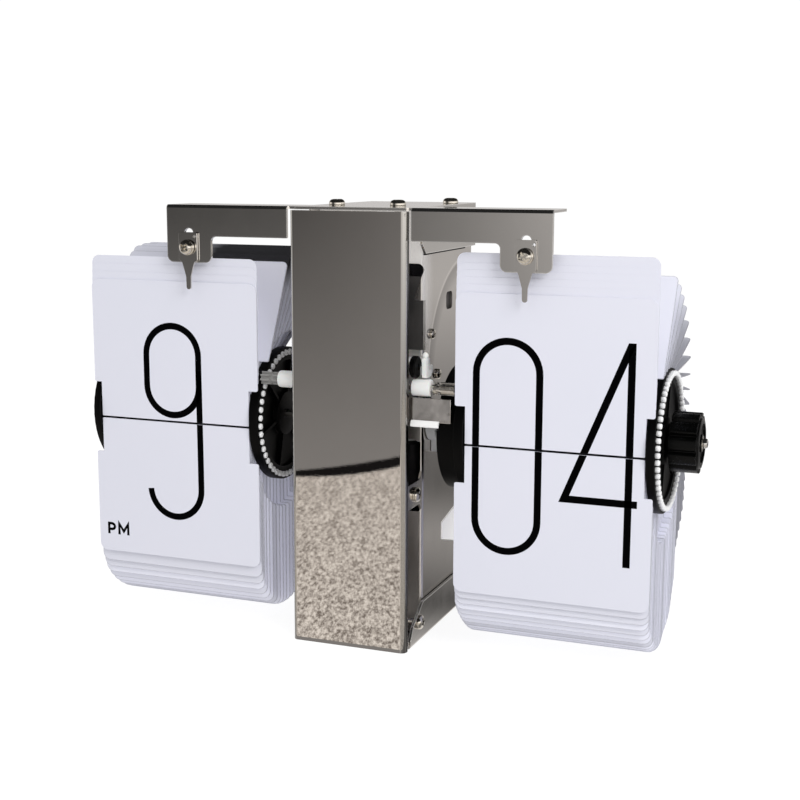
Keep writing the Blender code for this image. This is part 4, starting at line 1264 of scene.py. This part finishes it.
# Bearings: a tube round each shaft, on a plate against the chassis wall.
BEARING_TUBES = {
    "minute": [
        (16.7, 1.56), (16.7, 3.6), (23.4, 3.6), (23.5, 3.1), (26.1, 3.1), (26.4, 2.8),
        (26.4, 1.56),
    ],
    "hour": [
        (-16.7, 1.56), (-16.7, 3.6), (-22.0, 3.6), (-22.0, 4.1), (-22.2, 4.3), (-27.0, 4.3),
        (-27.4, 3.9), (-27.4, 1.56),
    ],
}
BEARING_COLLAR = ((18.3, 2.2), (18.3, 5.4), (21.3, 5.2), (21.6, 4.9), (21.6, 2.2))
BEARING_STUD = ((19.9, 0), (19.9, 1.5), (20.7, 1.3), (20.9, 0))
bearing_plate = rounded_rect((25.4, 34.0), (60.4, 76.2), 0.8)
for side, label in ((1, "minute"), (-1, "hour")):
    collar, stud = (
        [(side * x, radius) for x, radius in profile] for profile in (BEARING_COLLAR, BEARING_STUD)
    )
    tube = turned(label + "_journal", BEARING_TUBES[label], WHEEL, 56, PIN_WHITE)
    join(
        tube,
        tool(bearing_plate, "X", side * 18.2, side * 20.1, WHITE),
        turned_tool(collar, WHEEL, 56, WHITE),
        turned_tool(stud, (31.2, 62.6), 32, WHITE),
    )
    cut(tube, bore("X", WHEEL, 1.56, 40, side * 15, side * 28))
    dress(tube, "frame", "white_acetal", label + "_bearing", bevel=0.15, angle=40)


# ------------------------------------------------------------------ movement

case_outline = rounded([(21.5, 75.5, 2), (21.5, 118.0, 3), (58.0, 118.0, 3), (58.0, 75.5, 3)], 8)
case_hollow = rounded([(23.3, 77.3, 1), (23.3, 116.2, 2), (56.2, 116.2, 2), (56.2, 77.3, 2)])
case = prism("movement_shell", case_outline, "X", -11.0, 7.0, CASE_BLACK)
cut(case, tool(case_hollow, "X", -9.2, 9.0))
GROOVES = (-7.5, -4.5, -1.5, 1.5, 4.5)
cut(case, *[block("tool", (x - 0.35, x + 0.35), (20, 22.1), (82, 112)) for x in GROOVES])
dress(case, "frame", "black_plastic", "movement_case", bevel=0.25, angle=40)
pad = block("movement_pad", (-16.6, 16.6), (30.0, 33.0), (117.0, 126.5), CASE_BLACK)
dress(pad, "frame", "black_plastic", bevel=0.3, angle=40)
slot_back = block("slot_backing", (15.6, 16.9), (37.6, 47.8), (103.6, 113.4), DULL)
dress(slot_back, "frame", "black_plastic", bevel=0.2, angle=40)
# Painted shadow: a thin black strip under the side flange's edge, where shade falls.
flange_shadow_strip = block("flange_shadow_line", (17.4, 18.3), (FACE_Y + 0.4, 58.0), (124.8, 125.3), BLACK)
dress(flange_shadow_strip, "frame", "black_plastic", bevel=0)
lid = prism("movement_cap", case_outline, "X", 7.3, 9.6, CASE_BLACK)
cut(
    lid,
    bore("X", PINION, 1.1, 32, 6, 12),
    turned_tool([(9.1, 3.2), (9.1, 4.4), (10.0, 4.4), (10.0, 3.2)], PINION, 48),
)
dress(lid, "frame", "black_plastic", "movement_lid", bevel=0.25, angle=40)

board_outline = rounded(
    [(40.5, 79.0, 0.5), (40.5, 114.5, 0.5), (54.5, 114.5, 0.5), (54.5, 79.0, 0.5)], 4
)
board = prism("electronics_board", board_outline, "X", -8.6, -7.4, BOARD)
cut(board, *[bore("X", (42.3, 80.8 + 31.9 * k), 0.7, 20, -10, -6) for k in (0, 1)])
dress(board, "frame", "grey_acetal", "circuit_board", bevel=0.06)

coil_profile = [
    (82.0, 0), (82.0, 1.5), (82.1, 1.6), (84.0, 1.6), (84.0, 4.2), (84.2, 4.4), (85.8, 4.4),
    (86.0, 4.2), (86.0, 4.0), (104.0, 4.0), (104.0, 4.2), (104.2, 4.4), (105.8, 4.4),
    (106.0, 4.2), (106.0, 1.6), (107.9, 1.6), (108.0, 1.5), (108.0, 0),
]
coil = turned("motor_winding", coil_profile, (-1.5, 33.0), 48, WINDING, "Z")
dress(coil, "frame", "brass", "motor_coil", bevel=0)


# ------------------------------------------------------------------ battery

CELL_Y = 38.0
CELL = (0, CELL_Y)

holder_outline = rounded(
    [
        (-17.0, 22.0, 0.4), (-17.0, 60.0, 0.5), (-15.8, 60.0, 0.5), (-15.8, 56.5, 1.0),
        (15.8, 56.5, 1.0), (15.8, 60.0, 0.5), (17.0, 60.0, 0.5), (17.0, 22.0, 0.4),
    ],
    4,
)
holder = prism("cell_cradle", holder_outline, "Z", 1.5, 66.6, WHITE)
# Bosses that fill the chassis's side windows, with a painted glow.
boss_outline = rounded(
    [
        (36.8, 28.1, 0.3), (36.8, 33.9, 0.3), (47.5, 36.0, 0),
        (57.6, 38.0, 0.3), (57.6, 22.3, 0.3), (47.5, 25.1, 0),
    ],
    4,
)
for side in (-1, 1):
    name = f"cell_cradle_boss_{side + 1}"
    boss = prism(name, boss_outline, "X", side * 15.0, side * 18.3, BOSS_WHITE_PAINTED_GLOW)
    dress(boss, "frame", "white_acetal", bevel=0.2, angle=40)
cell_room = [(3.2, 0), (3.2, 16.9), (65.2, 16.9), (65.2, 0)]
cut(
    holder,
    turned_tool(cell_room, CELL, 96, axis="Z"),
    block("tool", (-18, 18), (20, 31.8), (3.2, 68)),
    block("tool", (-13.0, 13.0), (38.0, 62.0), (3.2, 65.2)),
)
dress(holder, "frame", "white_acetal", "battery_holder", bevel=0.2, angle=40)

cell_profile = [
    (4.6, 0), (4.6, 12.0), (4.9, 12.3), (4.9, 15.2), (5.0, 15.9), (5.4, 16.4), (6.0, 16.6),
    (61.9, 16.6), (62.6, 16.4), (63.0, 15.9), (63.2, 15.2), (63.0, 13.6), (62.8, 6.6),
    (63.0, 5.0), (63.3, 4.7), (64.3, 4.6), (64.5, 4.3), (64.5, 0),
]
cell = turned("cell_body", cell_profile, CELL, 96, JACKET, "Z")
dress(cell, "frame", "cell_jacket", "battery_cell", bevel=0)
contact_outline = rounded_rect((-5.5, 5.5), (33.0, 43.0), 1, 6)
contact = prism("cell_contact_plate", contact_outline, "Z", 64.65, 64.95, CONTACT)
cut(contact, bore("Z", CELL, 1.0, 24, 64, 66))
dress(contact, "frame", "screw_steel", "contact_plate", bevel=0.05)


def contact_spring():
    """Wire coil under the cell that narrows as it rises."""
    sections, around, turns, wire_r = 40, 10, 2.2, 0.22
    coil_r, narrowing, bottom, height = 7.0, 0.42, 3.3, 1.25
    total = int(turns * sections)
    data = bmesh.new()
    rings = []
    for k in range(total + 1):
        angle = 2 * math.pi * k / sections
        x, y = polar(CELL, coil_r * (1.0 - narrowing * k / total), angle)
        z = bottom + wire_r + (height - 2 * wire_r) * k / total
        ring = []
        for j in range(around):
            turn = 2 * math.pi * j / around
            out = wire_r * math.cos(turn)
            rise = wire_r * math.sin(turn)
            spot = (x + out * math.cos(angle), y + out * math.sin(angle), z + rise)
            ring.append(data.verts.new(spot))
        rings.append(ring)
    tube_through(data, rings)
    return to_object("cell_spring", data, CONTACT)


dress(contact_spring(), "frame", "screw_steel", "contact_spring", bevel=0)


# ------------------------------------------------------------------ cards

LEAF_FOOT, LEAF_SHOULDER = -0.45, 10.9
BOW_HEIGHTS = (8, 16, 24, 32, 40)
# Lean of the upper hour cards by pin angle, both in degrees.
HOUR_LEANS = {
    27.0: 25.6, 34.5: 26.0, 42.0: 27.5, 49.5: 31.0, 57.0: 35.0, 64.5: 39.5,
    72.0: 44.0, 79.5: 48.0, 87.0: 52.0, 94.5: 56.5, 102.0: 60.5,
}
# Painted shade of the hanging cards, as indices into their darker copies, repeated.
HANGING_PAINTED_SHADES = (0, 1, 0, 2, 0, 1, 3, 0)


def card_outline(side, foot, shoulder, tip, corner=2.7, shift=0.0):
    """A notched card in (x, height), from its foot at the pins to its tip."""
    inner, outer, notch_in, notch_out = (
        side * x + shift for x in (CARD_IN, CARD_OUT, NOTCH_IN, NOTCH_OUT)
    )
    corners = [
        (notch_in, foot, 0.3), (notch_in, shoulder, 0), (inner, shoulder, 0.6),
        (inner, tip, corner), (outer, tip, corner),
        (outer, shoulder, 0.6), (notch_out, shoulder, 0), (notch_out, foot, 0.3),
    ]
    return rounded(corners, 8)


def whole(data):
    return data.verts[:] + data.edges[:] + data.faces[:]


def card_sheet(name, side, y, z, lean, mat, thick=CARD_T, bow=0.0, corner=2.7, shift=0.0):
    """One card whose pins are at (y, z), leaning back by lean degrees. bow lifts its middle."""
    outline = card_outline(side, LEAF_FOOT, LEAF_SHOULDER, PIN_TO_TIP, corner, shift)
    data = bmesh.new()
    faces = [
        [data.verts.new((x, depth, height)) for x, height in outline]
        for depth in (-thick / 2, thick / 2)
    ]
    close_solid(data, *faces)
    if bow:
        for height in BOW_HEIGHTS:
            bmesh.ops.bisect_plane(
                data, geom=whole(data), plane_co=(0, 0, height), plane_no=(0, 0, 1)
            )
        for vert in data.verts:
            part = max(0.0, min(1.0, vert.co.z / PIN_TO_TIP))
            vert.co.y += bow * math.sin(math.pi * part) + bow * 0.6 * part * part
    turn = Matrix.Rotation(-math.radians(lean), 3, "X")
    for vert in data.verts:
        vert.co = turn @ vert.co + Vector((0, y, z))
    return to_object(name, data, mat)


def finish_card(obj, body, *nodes, bevel=0.05):
    dress(obj, body, "card_plastic", *nodes, bevel=bevel, segments=2, angle=50)


def jitter(k):
    """A small repeatable variation, -1 to 1."""
    return math.sin(k * 12.9898 + 4.1) * 0.6 + math.sin(k * 7.233 + 1.7) * 0.4


def minute_lean(angle):
    part = max(0.0, min(1.0, (angle - 34.0) / 146.0))
    return min(180.0, angle + 23.5 * math.sin(math.pi * part))


def hour_lean(angle):
    return HOUR_LEANS.get(angle, minute_lean(angle))


def upright_card(label, end, side, body):
    """A front card, which stands exactly where its CAD solid does."""
    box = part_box(f"{label}_{end}_card")
    low, high = box[LOW][Z] / MM, box[HIGH][Z] / MM
    if end == "top":
        outline = card_outline(side, low, low + NOTCH, high)
    else:
        outline = card_outline(side, high, high - NOTCH, low)
    leaf = prism(f"{label}_leaf_{end}", outline, "Y", CARD_Y, CARD_Y + CARD_T, CARD)
    finish_card(leaf, body, f"{label}_{end}_card")


def standing_cards(side, label, first, step, count):
    """The thin bunch right behind the front card: each foot on its pin, each face leaning
    on the card in front."""
    for k in range(1, count + 1):
        y, z = pin(first + step * k)
        tip_y = CARD_Y + CARD_T + 0.14 * k - 0.12 + 0.07
        foot_y = min(y, tip_y + 0.35)
        if side > 0 and k == count:
            z += 1.1
        lean = math.degrees(math.atan2(tip_y - foot_y, PIN_TO_TIP))
        name = f"{label}_leaf_standing_{k:02d}"
        leaf = card_sheet(name, side, foot_y, z, lean, CARD_PLAIN, thick=0.135)
        finish_card(leaf, "frame", *([label + "_standing_cards"] if k == 1 else []), bevel=0)


def rear_material(side, index):
    # Painted light and shade: darker copies of the card, and for the first hour cards a glow and
    # shade near the column.
    if side > 0:
        return CARD_PAINTED_SHADE[min(4, index)]
    if index == 0:
        return CARD_PAINTED_GLOW
    if index < 9:
        return CARD_SHADED
    return CARD_PAINTED_SHADE[(2 * index + int(3 * abs(jitter(index)))) % 4]


def rear_cards(side, label, angle, step):
    """The leaning cards over the top and back of the wheel, from a pin angle on."""
    index = 0
    while angle < 178.0:
        y, z = pin(angle)
        lean = minute_lean(angle) if side > 0 else hour_lean(angle)
        spread = 1 if angle > 50 else 0.25
        lean += 1.3 * jitter(index + (0 if side > 0 else 40)) * spread
        leaf = card_sheet(
            f"{label}_leaf_rear_{index + 1:02d}", side, y, z, min(lean, 179.5),
            rear_material(side, index),
            bow=0.5 + 0.35 * jitter(index + 5), corner=1.7, shift=0.3 * jitter(index + 21),
        )
        finish_card(leaf, "frame", *([label + "_rear_cards"] if index == 0 else []))
        index += 1
        angle += step


def hanging_cards(side, label, angle, step):
    """The cards that hang from the lower pins, from a pin angle down and round to the back."""
    index = 0
    previous = CARD_Y + CARD_T
    while angle > -181.0:
        y, z = pin(angle)
        y = max(y - 0.05, previous + 0.46)
        previous = y
        sway = 0.12 * jitter(index + 9) if y > 8 else 0
        shift, mat = 0.0, CARD_PAINTED_SHADE[0]
        if index > 1:
            shift = 0.3 * jitter(index + 60)
            mat = CARD_HANGING_PAINTED_LIGHT[HANGING_PAINTED_SHADES[index % 8]]
        name = f"{label}_leaf_hanging_{index + 1:02d}"
        leaf = card_sheet(name, side, y, z, 180.0 + sway, mat, shift=shift)
        finish_card(leaf, "frame", *([label + "_hanging_cards"] if index == 0 else []))
        index += 1
        angle -= step


for side, label, pins, first, bunch in (
    (1, "minute", MINUTE_PINS, MINUTE_FIRST, 5),
    (-1, "hour", HOUR_PINS, HOUR_FIRST, 3),
):
    step = 360.0 / pins
    upright_card(label, "top", side, label + "_flap")
    upright_card(label, "bottom", side, "frame")
    standing_cards(side, label, first, step, bunch)
    rear_cards(side, label, first + step * (bunch + 1), step)
    hanging_cards(side, label, first - step * 2, step)


# ------------------------------------------------------------------ digits

DIGIT_STROKE, PM_STROKE = 2.2, 0.92
INK_T = 0.02
INK_FRONT = CARD_Y - 0.025
INK_BACK = CARD_Y + CARD_T + 0.025
# Height the ink is cut off at either side of the hinge, and the height it flips about.
TOP_EDGE, BOTTOM_EDGE, FLIP_Z = 68.7, 68.0, 68.4


def ribbon(points, width, closed=False):
    """Band of the given width along a path, as (left, right) point lists with mitred corners."""
    left, right = [], []
    count = len(points)
    for i, (x, z) in enumerate(points):
        if closed:
            before, after = points[i - 1], points[(i + 1) % count]
        else:
            before, after = points[max(i - 1, 0)], points[min(i + 1, count - 1)]
        coming = Vector((x - before[0], z - before[1]))
        going = Vector((after[0] - x, after[1] - z))
        if coming.length < 1e-9:
            coming = going
        if going.length < 1e-9:
            going = coming
        coming.normalize()
        going.normalize()
        normal = Vector((-coming.y - going.y, coming.x + going.x))
        normal.normalize()
        scale = 1.0 / max(0.35, normal.dot(Vector((-coming.y, coming.x))))
        for points_out, reach in ((left, width / 2), (right, -width / 2)):
            points_out.append((x + normal.x * reach * scale, z + normal.y * reach * scale))
    return left, right


def arc(x, z, across, up, start, end, steps=24):
    """Elliptical arc about (x, z), from one angle to another in degrees."""
    angles = [math.radians(start + (end - start) * k / steps) for k in range(steps + 1)]
    return [(x + across * math.cos(angle), z + up * math.sin(angle)) for angle in angles]


def strokes(data, paths, width, y):
    for path, closed in paths:
        left, right = (
            [data.verts.new((x, y, z)) for x, z in edge] for edge in ribbon(path, width, closed)
        )
        for i in range(len(path) - (0 if closed else 1)):
            j = (i + 1) % len(path)
            data.faces.new((left[i], right[i], right[j], left[j]))


# Each glyph is a list of (path of (x, z), closed).
ZERO = [(arc(50.3, 91.0, 9.9, 9.9, 0, 180) + arc(50.3, 46.0, 9.9, 9.9, 180, 360), True)]
FOUR = [([(90.4, 54.3), (68.3, 54.3), (87.3, 101.0), (87.7, 101.0), (87.7, 34.9)], False)]
FIVE = [
    (
        [(89.0, 100.9), (72.0, 100.9), (70.4, 71.5)]
        + arc(78.6, 56.0, 10.4, 19.0, 128, -150, 40),
        False,
    )
]
NINE_X, NINE_R = -64.85, 9.75
NINE = [
    (
        arc(NINE_X, 90.6, NINE_R, NINE_R, 0, 180) + arc(NINE_X, 80.4, NINE_R, NINE_R, 180, 360),
        True,
    ),
    (
        [(NINE_X + NINE_R, 86.0), (NINE_X + 9.9, 60.0)]
        + arc(NINE_X + 0.3, 45.7, 9.6, NINE_R, 0, -176, 32),
        False,
    ),
]
PM = [
    (
        [(-91.3, 27.5), (-91.3, 31.15), (-90.3, 31.15)]
        + arc(-90.2, 30.15, 1.2, 1.0, 90, -90, 14)
        + [(-91.0, 29.15)],
        False,
    ),
    ([(-87.25, 27.5), (-87.25, 31.3), (-85.5, 28.7), (-83.75, 31.3), (-83.75, 27.5)], False),
]


def print_ink(name, paths, end, body, width=DIGIT_STROKE, on_back=False):
    """Ink on a card, the part of the glyph at one end, top or bottom, of the hinge.

    On the back it is upside down, so that it reads the right way up once the card has fallen.
    """
    data = bmesh.new()
    strokes(data, paths, width, INK_BACK if on_back else INK_FRONT)
    bmesh.ops.bisect_plane(
        data,
        geom=whole(data),
        plane_co=(0, 0, TOP_EDGE if end == "top" else BOTTOM_EDGE),
        plane_no=(0, 0, -1 if end == "top" else 1),
        clear_outer=True,
    )
    if on_back:
        for vert in data.verts:
            vert.co.z = 2 * FLIP_Z - vert.co.z
    extruded = bmesh.ops.extrude_face_region(data, geom=data.faces[:])
    for item in extruded["geom"]:
        if isinstance(item, bmesh.types.BMVert):
            item.co.y += -INK_T if on_back else INK_T
    ink = to_object(name, data, INK)
    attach(ink, body)


for flap, glyphs in (
    ("minute_flap", (("minute_tens_ink_", ZERO), ("minute_units_ink_", FOUR))),
    ("hour_flap", (("hour_ink_", NINE),)),
):
    for end, body in (("top", flap), ("bottom", "frame")):
        for name, paths in glyphs:
            print_ink(name + end, paths, end, body)
print_ink("hour_pm_ink", PM, "bottom", "frame", width=PM_STROKE)
for name, paths, flap, width in (
    ("minute_tens_ink_back", ZERO, "minute_flap", DIGIT_STROKE),
    ("minute_units_ink_back", FIVE, "minute_flap", DIGIT_STROKE),
    ("hour_ink_back", NINE, "hour_flap", DIGIT_STROKE),
    ("hour_pm_ink_back", PM, "hour_flap", PM_STROKE),
):
    print_ink(name, paths, "bottom", flap, width=width, on_back=True)


# ------------------------------------------------------------------ stage


def stage_mesh(name, verts, faces, mat):
    mesh = bpy.data.meshes.new(name)
    mesh.from_pydata([world_point(*vert) for vert in verts], [], faces)
    mesh.materials.append(mat)
    obj = place(bpy.data.objects.new(name, mesh))
    return obj


def floor_material():
    """White paper that glows, more so as the camera sees it."""
    net = new_material("floor_paper")
    paper = net.mix(net.noise(scale=6, detail=4), (0.93, 0.93, 0.93), (0.95, 0.95, 0.95))
    net.set(Roughness=0.8, Specular_IOR_Level=0.1, Base_Color=paper)
    seen = net.add("LightPath").outputs["Is Camera Ray"]
    strength = net.span(seen, (0.0, 1.0), to=(0.86, 1.16))
    glow = net.add("Emission", {"Color": (1, 1, 1), "Strength": strength})
    nodes = net.tree.nodes
    mixed = net.mix_shader(0.76, nodes["Principled BSDF"].outputs[0], glow.outputs[0])
    net.feed(nodes["Material Output"].inputs["Surface"], mixed)
    return net.owner


floor_corners = [(-4000, -2000, 0), (4000, -2000, 0), (4000, 6000, 0), (-4000, 6000, 0)]
floor = stage_mesh("stage_floor", floor_corners, [(0, 1, 2, 3)], floor_material())
floor.visible_glossy = False


def emitter(name, pick_color):
    """Pure emission, in the colour or colour socket that pick_color gives for the net."""
    net = new_material(name)
    net.tree.nodes.clear()
    glow = net.add("Emission", {"Color": pick_color(net), "Strength": 1.0})
    net.add("OutputMaterial", {"Surface": glow.outputs[0]})
    return net.owner


def speckle(net):
    """Grains turned to the line of sight and drawn out along it, to look round when mirrored."""
    swing = net.add("Mapping", {"Vector": net.coords, "Rotation": (0, 0, math.radians(21))})
    squeeze = net.add("Mapping", {"Vector": swing.outputs["Vector"], "Scale": (1, 0.28, 1)})
    grains = {"Vector": squeeze.outputs["Vector"], "Scale": 880, "Detail": 2, "Roughness": 0.7}
    noise = net.add("TexNoise", grains).outputs["Fac"]
    return net.ramp(noise, [(0.34, (0.26, 0.225, 0.20)), (0.66, (1.03, 0.97, 0.90))])


def rim_dark(_net):
    return (0.012, 0.011, 0.011)


def reflected_only(obj):
    obj.visible_camera = False
    obj.visible_diffuse = False
    obj.visible_shadow = False
    obj.visible_transmission = False
    obj.visible_volume_scatter = False


def eased(points, steps=16):
    """The same corners, with one smooth curve through the third, fourth and fifth."""
    (ax, ay), (bx, by), (cx, cy) = points[2:5]
    made = list(points[:2])
    for k in range(steps + 1):
        part = k / steps
        first = 2 * part * part - 3 * part + 1
        second = 4 * part - 4 * part * part
        third = 2 * part * part - part
        made.append((first * ax + second * bx + third * cx, first * ay + second * by + third * cy))
    return made + list(points[5:])


# The table that the column's face mirrors ends in a dark rounded rim: its outer and inner
# edges, (x, y).
RIM = eased(
    [
        (-260, 20), (-190, -128), (-126.6, -227.4), (-107.2, -248.2), (-90.3, -277.6),
        (-50, -330), (40, -420), (160, -470), (300, -460), (460, -380),
    ]
)
INSIDE = eased(
    [
        (-250, 24), (-183, -119), (-120.9, -215.3), (-98.3, -228.1), (-81.5, -255.4),
        (-44, -312), (43, -400), (160, -448), (295, -438), (450, -362),
    ]
)
TABLE_Z, RIM_Z = -0.4, -0.2

table_verts = [(x, y, TABLE_Z) for x, y in INSIDE + [(460, -4), (-240, -4)]]
table_mat = emitter("table_reflection", speckle)
table_face = tuple(range(len(table_verts)))
reflected_only(stage_mesh("stage_table_reflection", table_verts, [table_face], table_mat))
rim_verts = [(x, y, RIM_Z) for x, y in INSIDE + RIM]
count = len(INSIDE)
rim_faces = [(i, i + 1, count + i + 1, count + i) for i in range(count - 1)]
rim_mat = emitter("rim_reflection", rim_dark)
reflected_only(stage_mesh("stage_rim_reflection", rim_verts, rim_faces, rim_mat))


# ------------------------------------------------------------------ world

# Room tones as they should look in the polished steel, in 8-bit grey.
# Round the clock, (azimuth, grey): 0 is the front, 90 the viewer's left, -90 the right.
HIGH_VIEW = (
    (-100, 225), (-60, 240), (-25, 240), (2, 195), (10, 172), (15.3, 146), (17.7, 122),
    (20.5, 102), (23.4, 84), (25.5, 74), (30, 67), (48, 62), (58, 140), (68, 190), (92, 215),
    (104, 150),
)
LOW_VIEW = (
    (-100, 92), (-60, 96), (-25, 114), (5, 160), (15, 126), (21, 118), (30, 117), (48, 112),
    (60, 150), (80, 190), (100, 140),
)
# Behind the clock, (elevation, grey): soft light and dark bands.
BACK_VIEW = (
    (-40, 190), (-21.0, 186), (-19.3, 125), (-18.2, 62), (-16.6, 112), (-15.2, 134),
    (-13.4, 80), (-11.6, 92), (-8.4, 126), (-5.0, 158), (-1.5, 150), (1.0, 168), (9.0, 176),
)
STEEL_REFLECTANCE = 0.66


def room_tone(grey):
    """Warm linear colour that reads as the 8-bit grey once the steel reflects it."""
    level = ((grey / 255.0 + 0.055) / 1.055) ** 2.4 / STEEL_REFLECTANCE
    return level * 1.02, level * 0.985, level * 0.965


def room_view(net, angle, limit, stops):
    """Ramp of room tones over an angle from -limit to limit degrees."""
    places = [((spot + limit) / (2 * limit), room_tone(grey)) for spot, grey in stops]
    return net.ramp(net.span(angle, (-limit, limit)), places)


def room_reflection(net):
    """Colour of the room by direction, as glossy rays see it."""
    way = net.split()
    around = net.math("ARCTAN2", net.math("MULTIPLY", way["X"], -1),
                      net.math("MULTIPLY", way["Y"], -1))
    azimuth = net.math("MULTIPLY", around, 180 / math.pi)
    elevation = net.math("MULTIPLY", net.math("ARCSINE", way["Z"]), 180 / math.pi)
    high_view = room_view(net, azimuth, 180, HIGH_VIEW)
    low_view = room_view(net, azimuth, 180, LOW_VIEW)
    back_view = room_view(net, elevation, 40, BACK_VIEW)
    front_view = net.mix(net.span(elevation, (-2.0, -12.5)), high_view, low_view)
    behind = net.span(net.math("ABSOLUTE", azimuth), (100, 135))
    all_round = net.mix(behind, front_view, back_view)
    return net.mix(net.span(elevation, (9.0, 20.0)), all_round, (0.018, 0.018, 0.018))


def studio_world():
    """White for the camera, the room for glossy rays and plain light for the rest."""
    world = bpy.data.worlds.new("studio")
    net = Net(world, "Generated")
    net.tree.nodes.clear()
    path = net.add("LightPath").outputs
    plain = net.add("Background", {"Color": (0.985, 0.99, 1.0), "Strength": 0.608})
    white = net.add("Background", {"Color": (1, 1, 1), "Strength": 1.05})
    mirror = net.add("Background", {"Color": room_reflection(net)})
    lit = net.mix_shader(path["Is Glossy Ray"], plain.outputs[0], mirror.outputs[0])
    seen = net.mix_shader(path["Is Camera Ray"], lit, white.outputs[0])
    net.add("OutputWorld", {"Surface": seen})
    return world


scene = bpy.context.scene
scene.world = studio_world()


# ------------------------------------------------------------------ lights


def area(name, spot, target, size, power):
    """Square area light at spot, aimed at target."""
    light = bpy.data.lights.new(name, "AREA")
    light.shape = "RECTANGLE"
    light.size = light.size_y = size * MM
    light.energy = power
    light.color = (1, 1, 1)
    obj = place(bpy.data.objects.new(name, light))
    start, end = (Vector((x, y - BASE_MID, z)) * MM for x, y, z in (spot, target))
    obj.location = start
    obj.rotation_mode = "QUATERNION"
    obj.rotation_quaternion = (end - start).to_track_quat("-Z", "Y")
    obj.visible_glossy = False


area("key", spot=(620, -420, 560), target=(40, 20, 70), size=420, power=3.3)
area("top_fill", spot=(-150, -100, 900), target=(0, 20, 70), size=900, power=2.2)


# ------------------------------------------------------------------ camera

CAMERA_SPOT = (166.341, -387.214, 153.135)
# Degrees: yaw to the left, pitch down, and roll.
CAMERA_YAW, CAMERA_PITCH, CAMERA_ROLL = 21.085, 9.785, 0.152

cam_data = bpy.data.cameras.new("camera")
cam_data.sensor_width = 36.0
cam_data.lens = 61.7265
cam_data.clip_start = 0.01
cam_data.clip_end = 50.0
camera = place(bpy.data.objects.new("camera", cam_data))
yaw, pitch, roll = (math.radians(angle) for angle in (CAMERA_YAW, CAMERA_PITCH, CAMERA_ROLL))
forward = Vector(
    (-math.sin(yaw) * math.cos(pitch), math.cos(yaw) * math.cos(pitch), -math.sin(pitch))
)
level = Vector((math.cos(yaw), math.sin(yaw), 0))
upward = level.cross(forward)
right = math.cos(roll) * level + math.sin(roll) * upward
up = -math.sin(roll) * level + math.cos(roll) * upward
spot = world_point(*CAMERA_SPOT)
rows = [(right[i], up[i], -forward[i], spot[i]) for i in (X, Y, Z)]
camera.matrix_world = Matrix((*rows, (0, 0, 0, 1)))
scene.camera = camera
scene.view_settings.view_transform = "Standard"
scene.view_settings.look = "None"
scene.view_settings.exposure = 0.0
scene.view_settings.gamma = 1.0
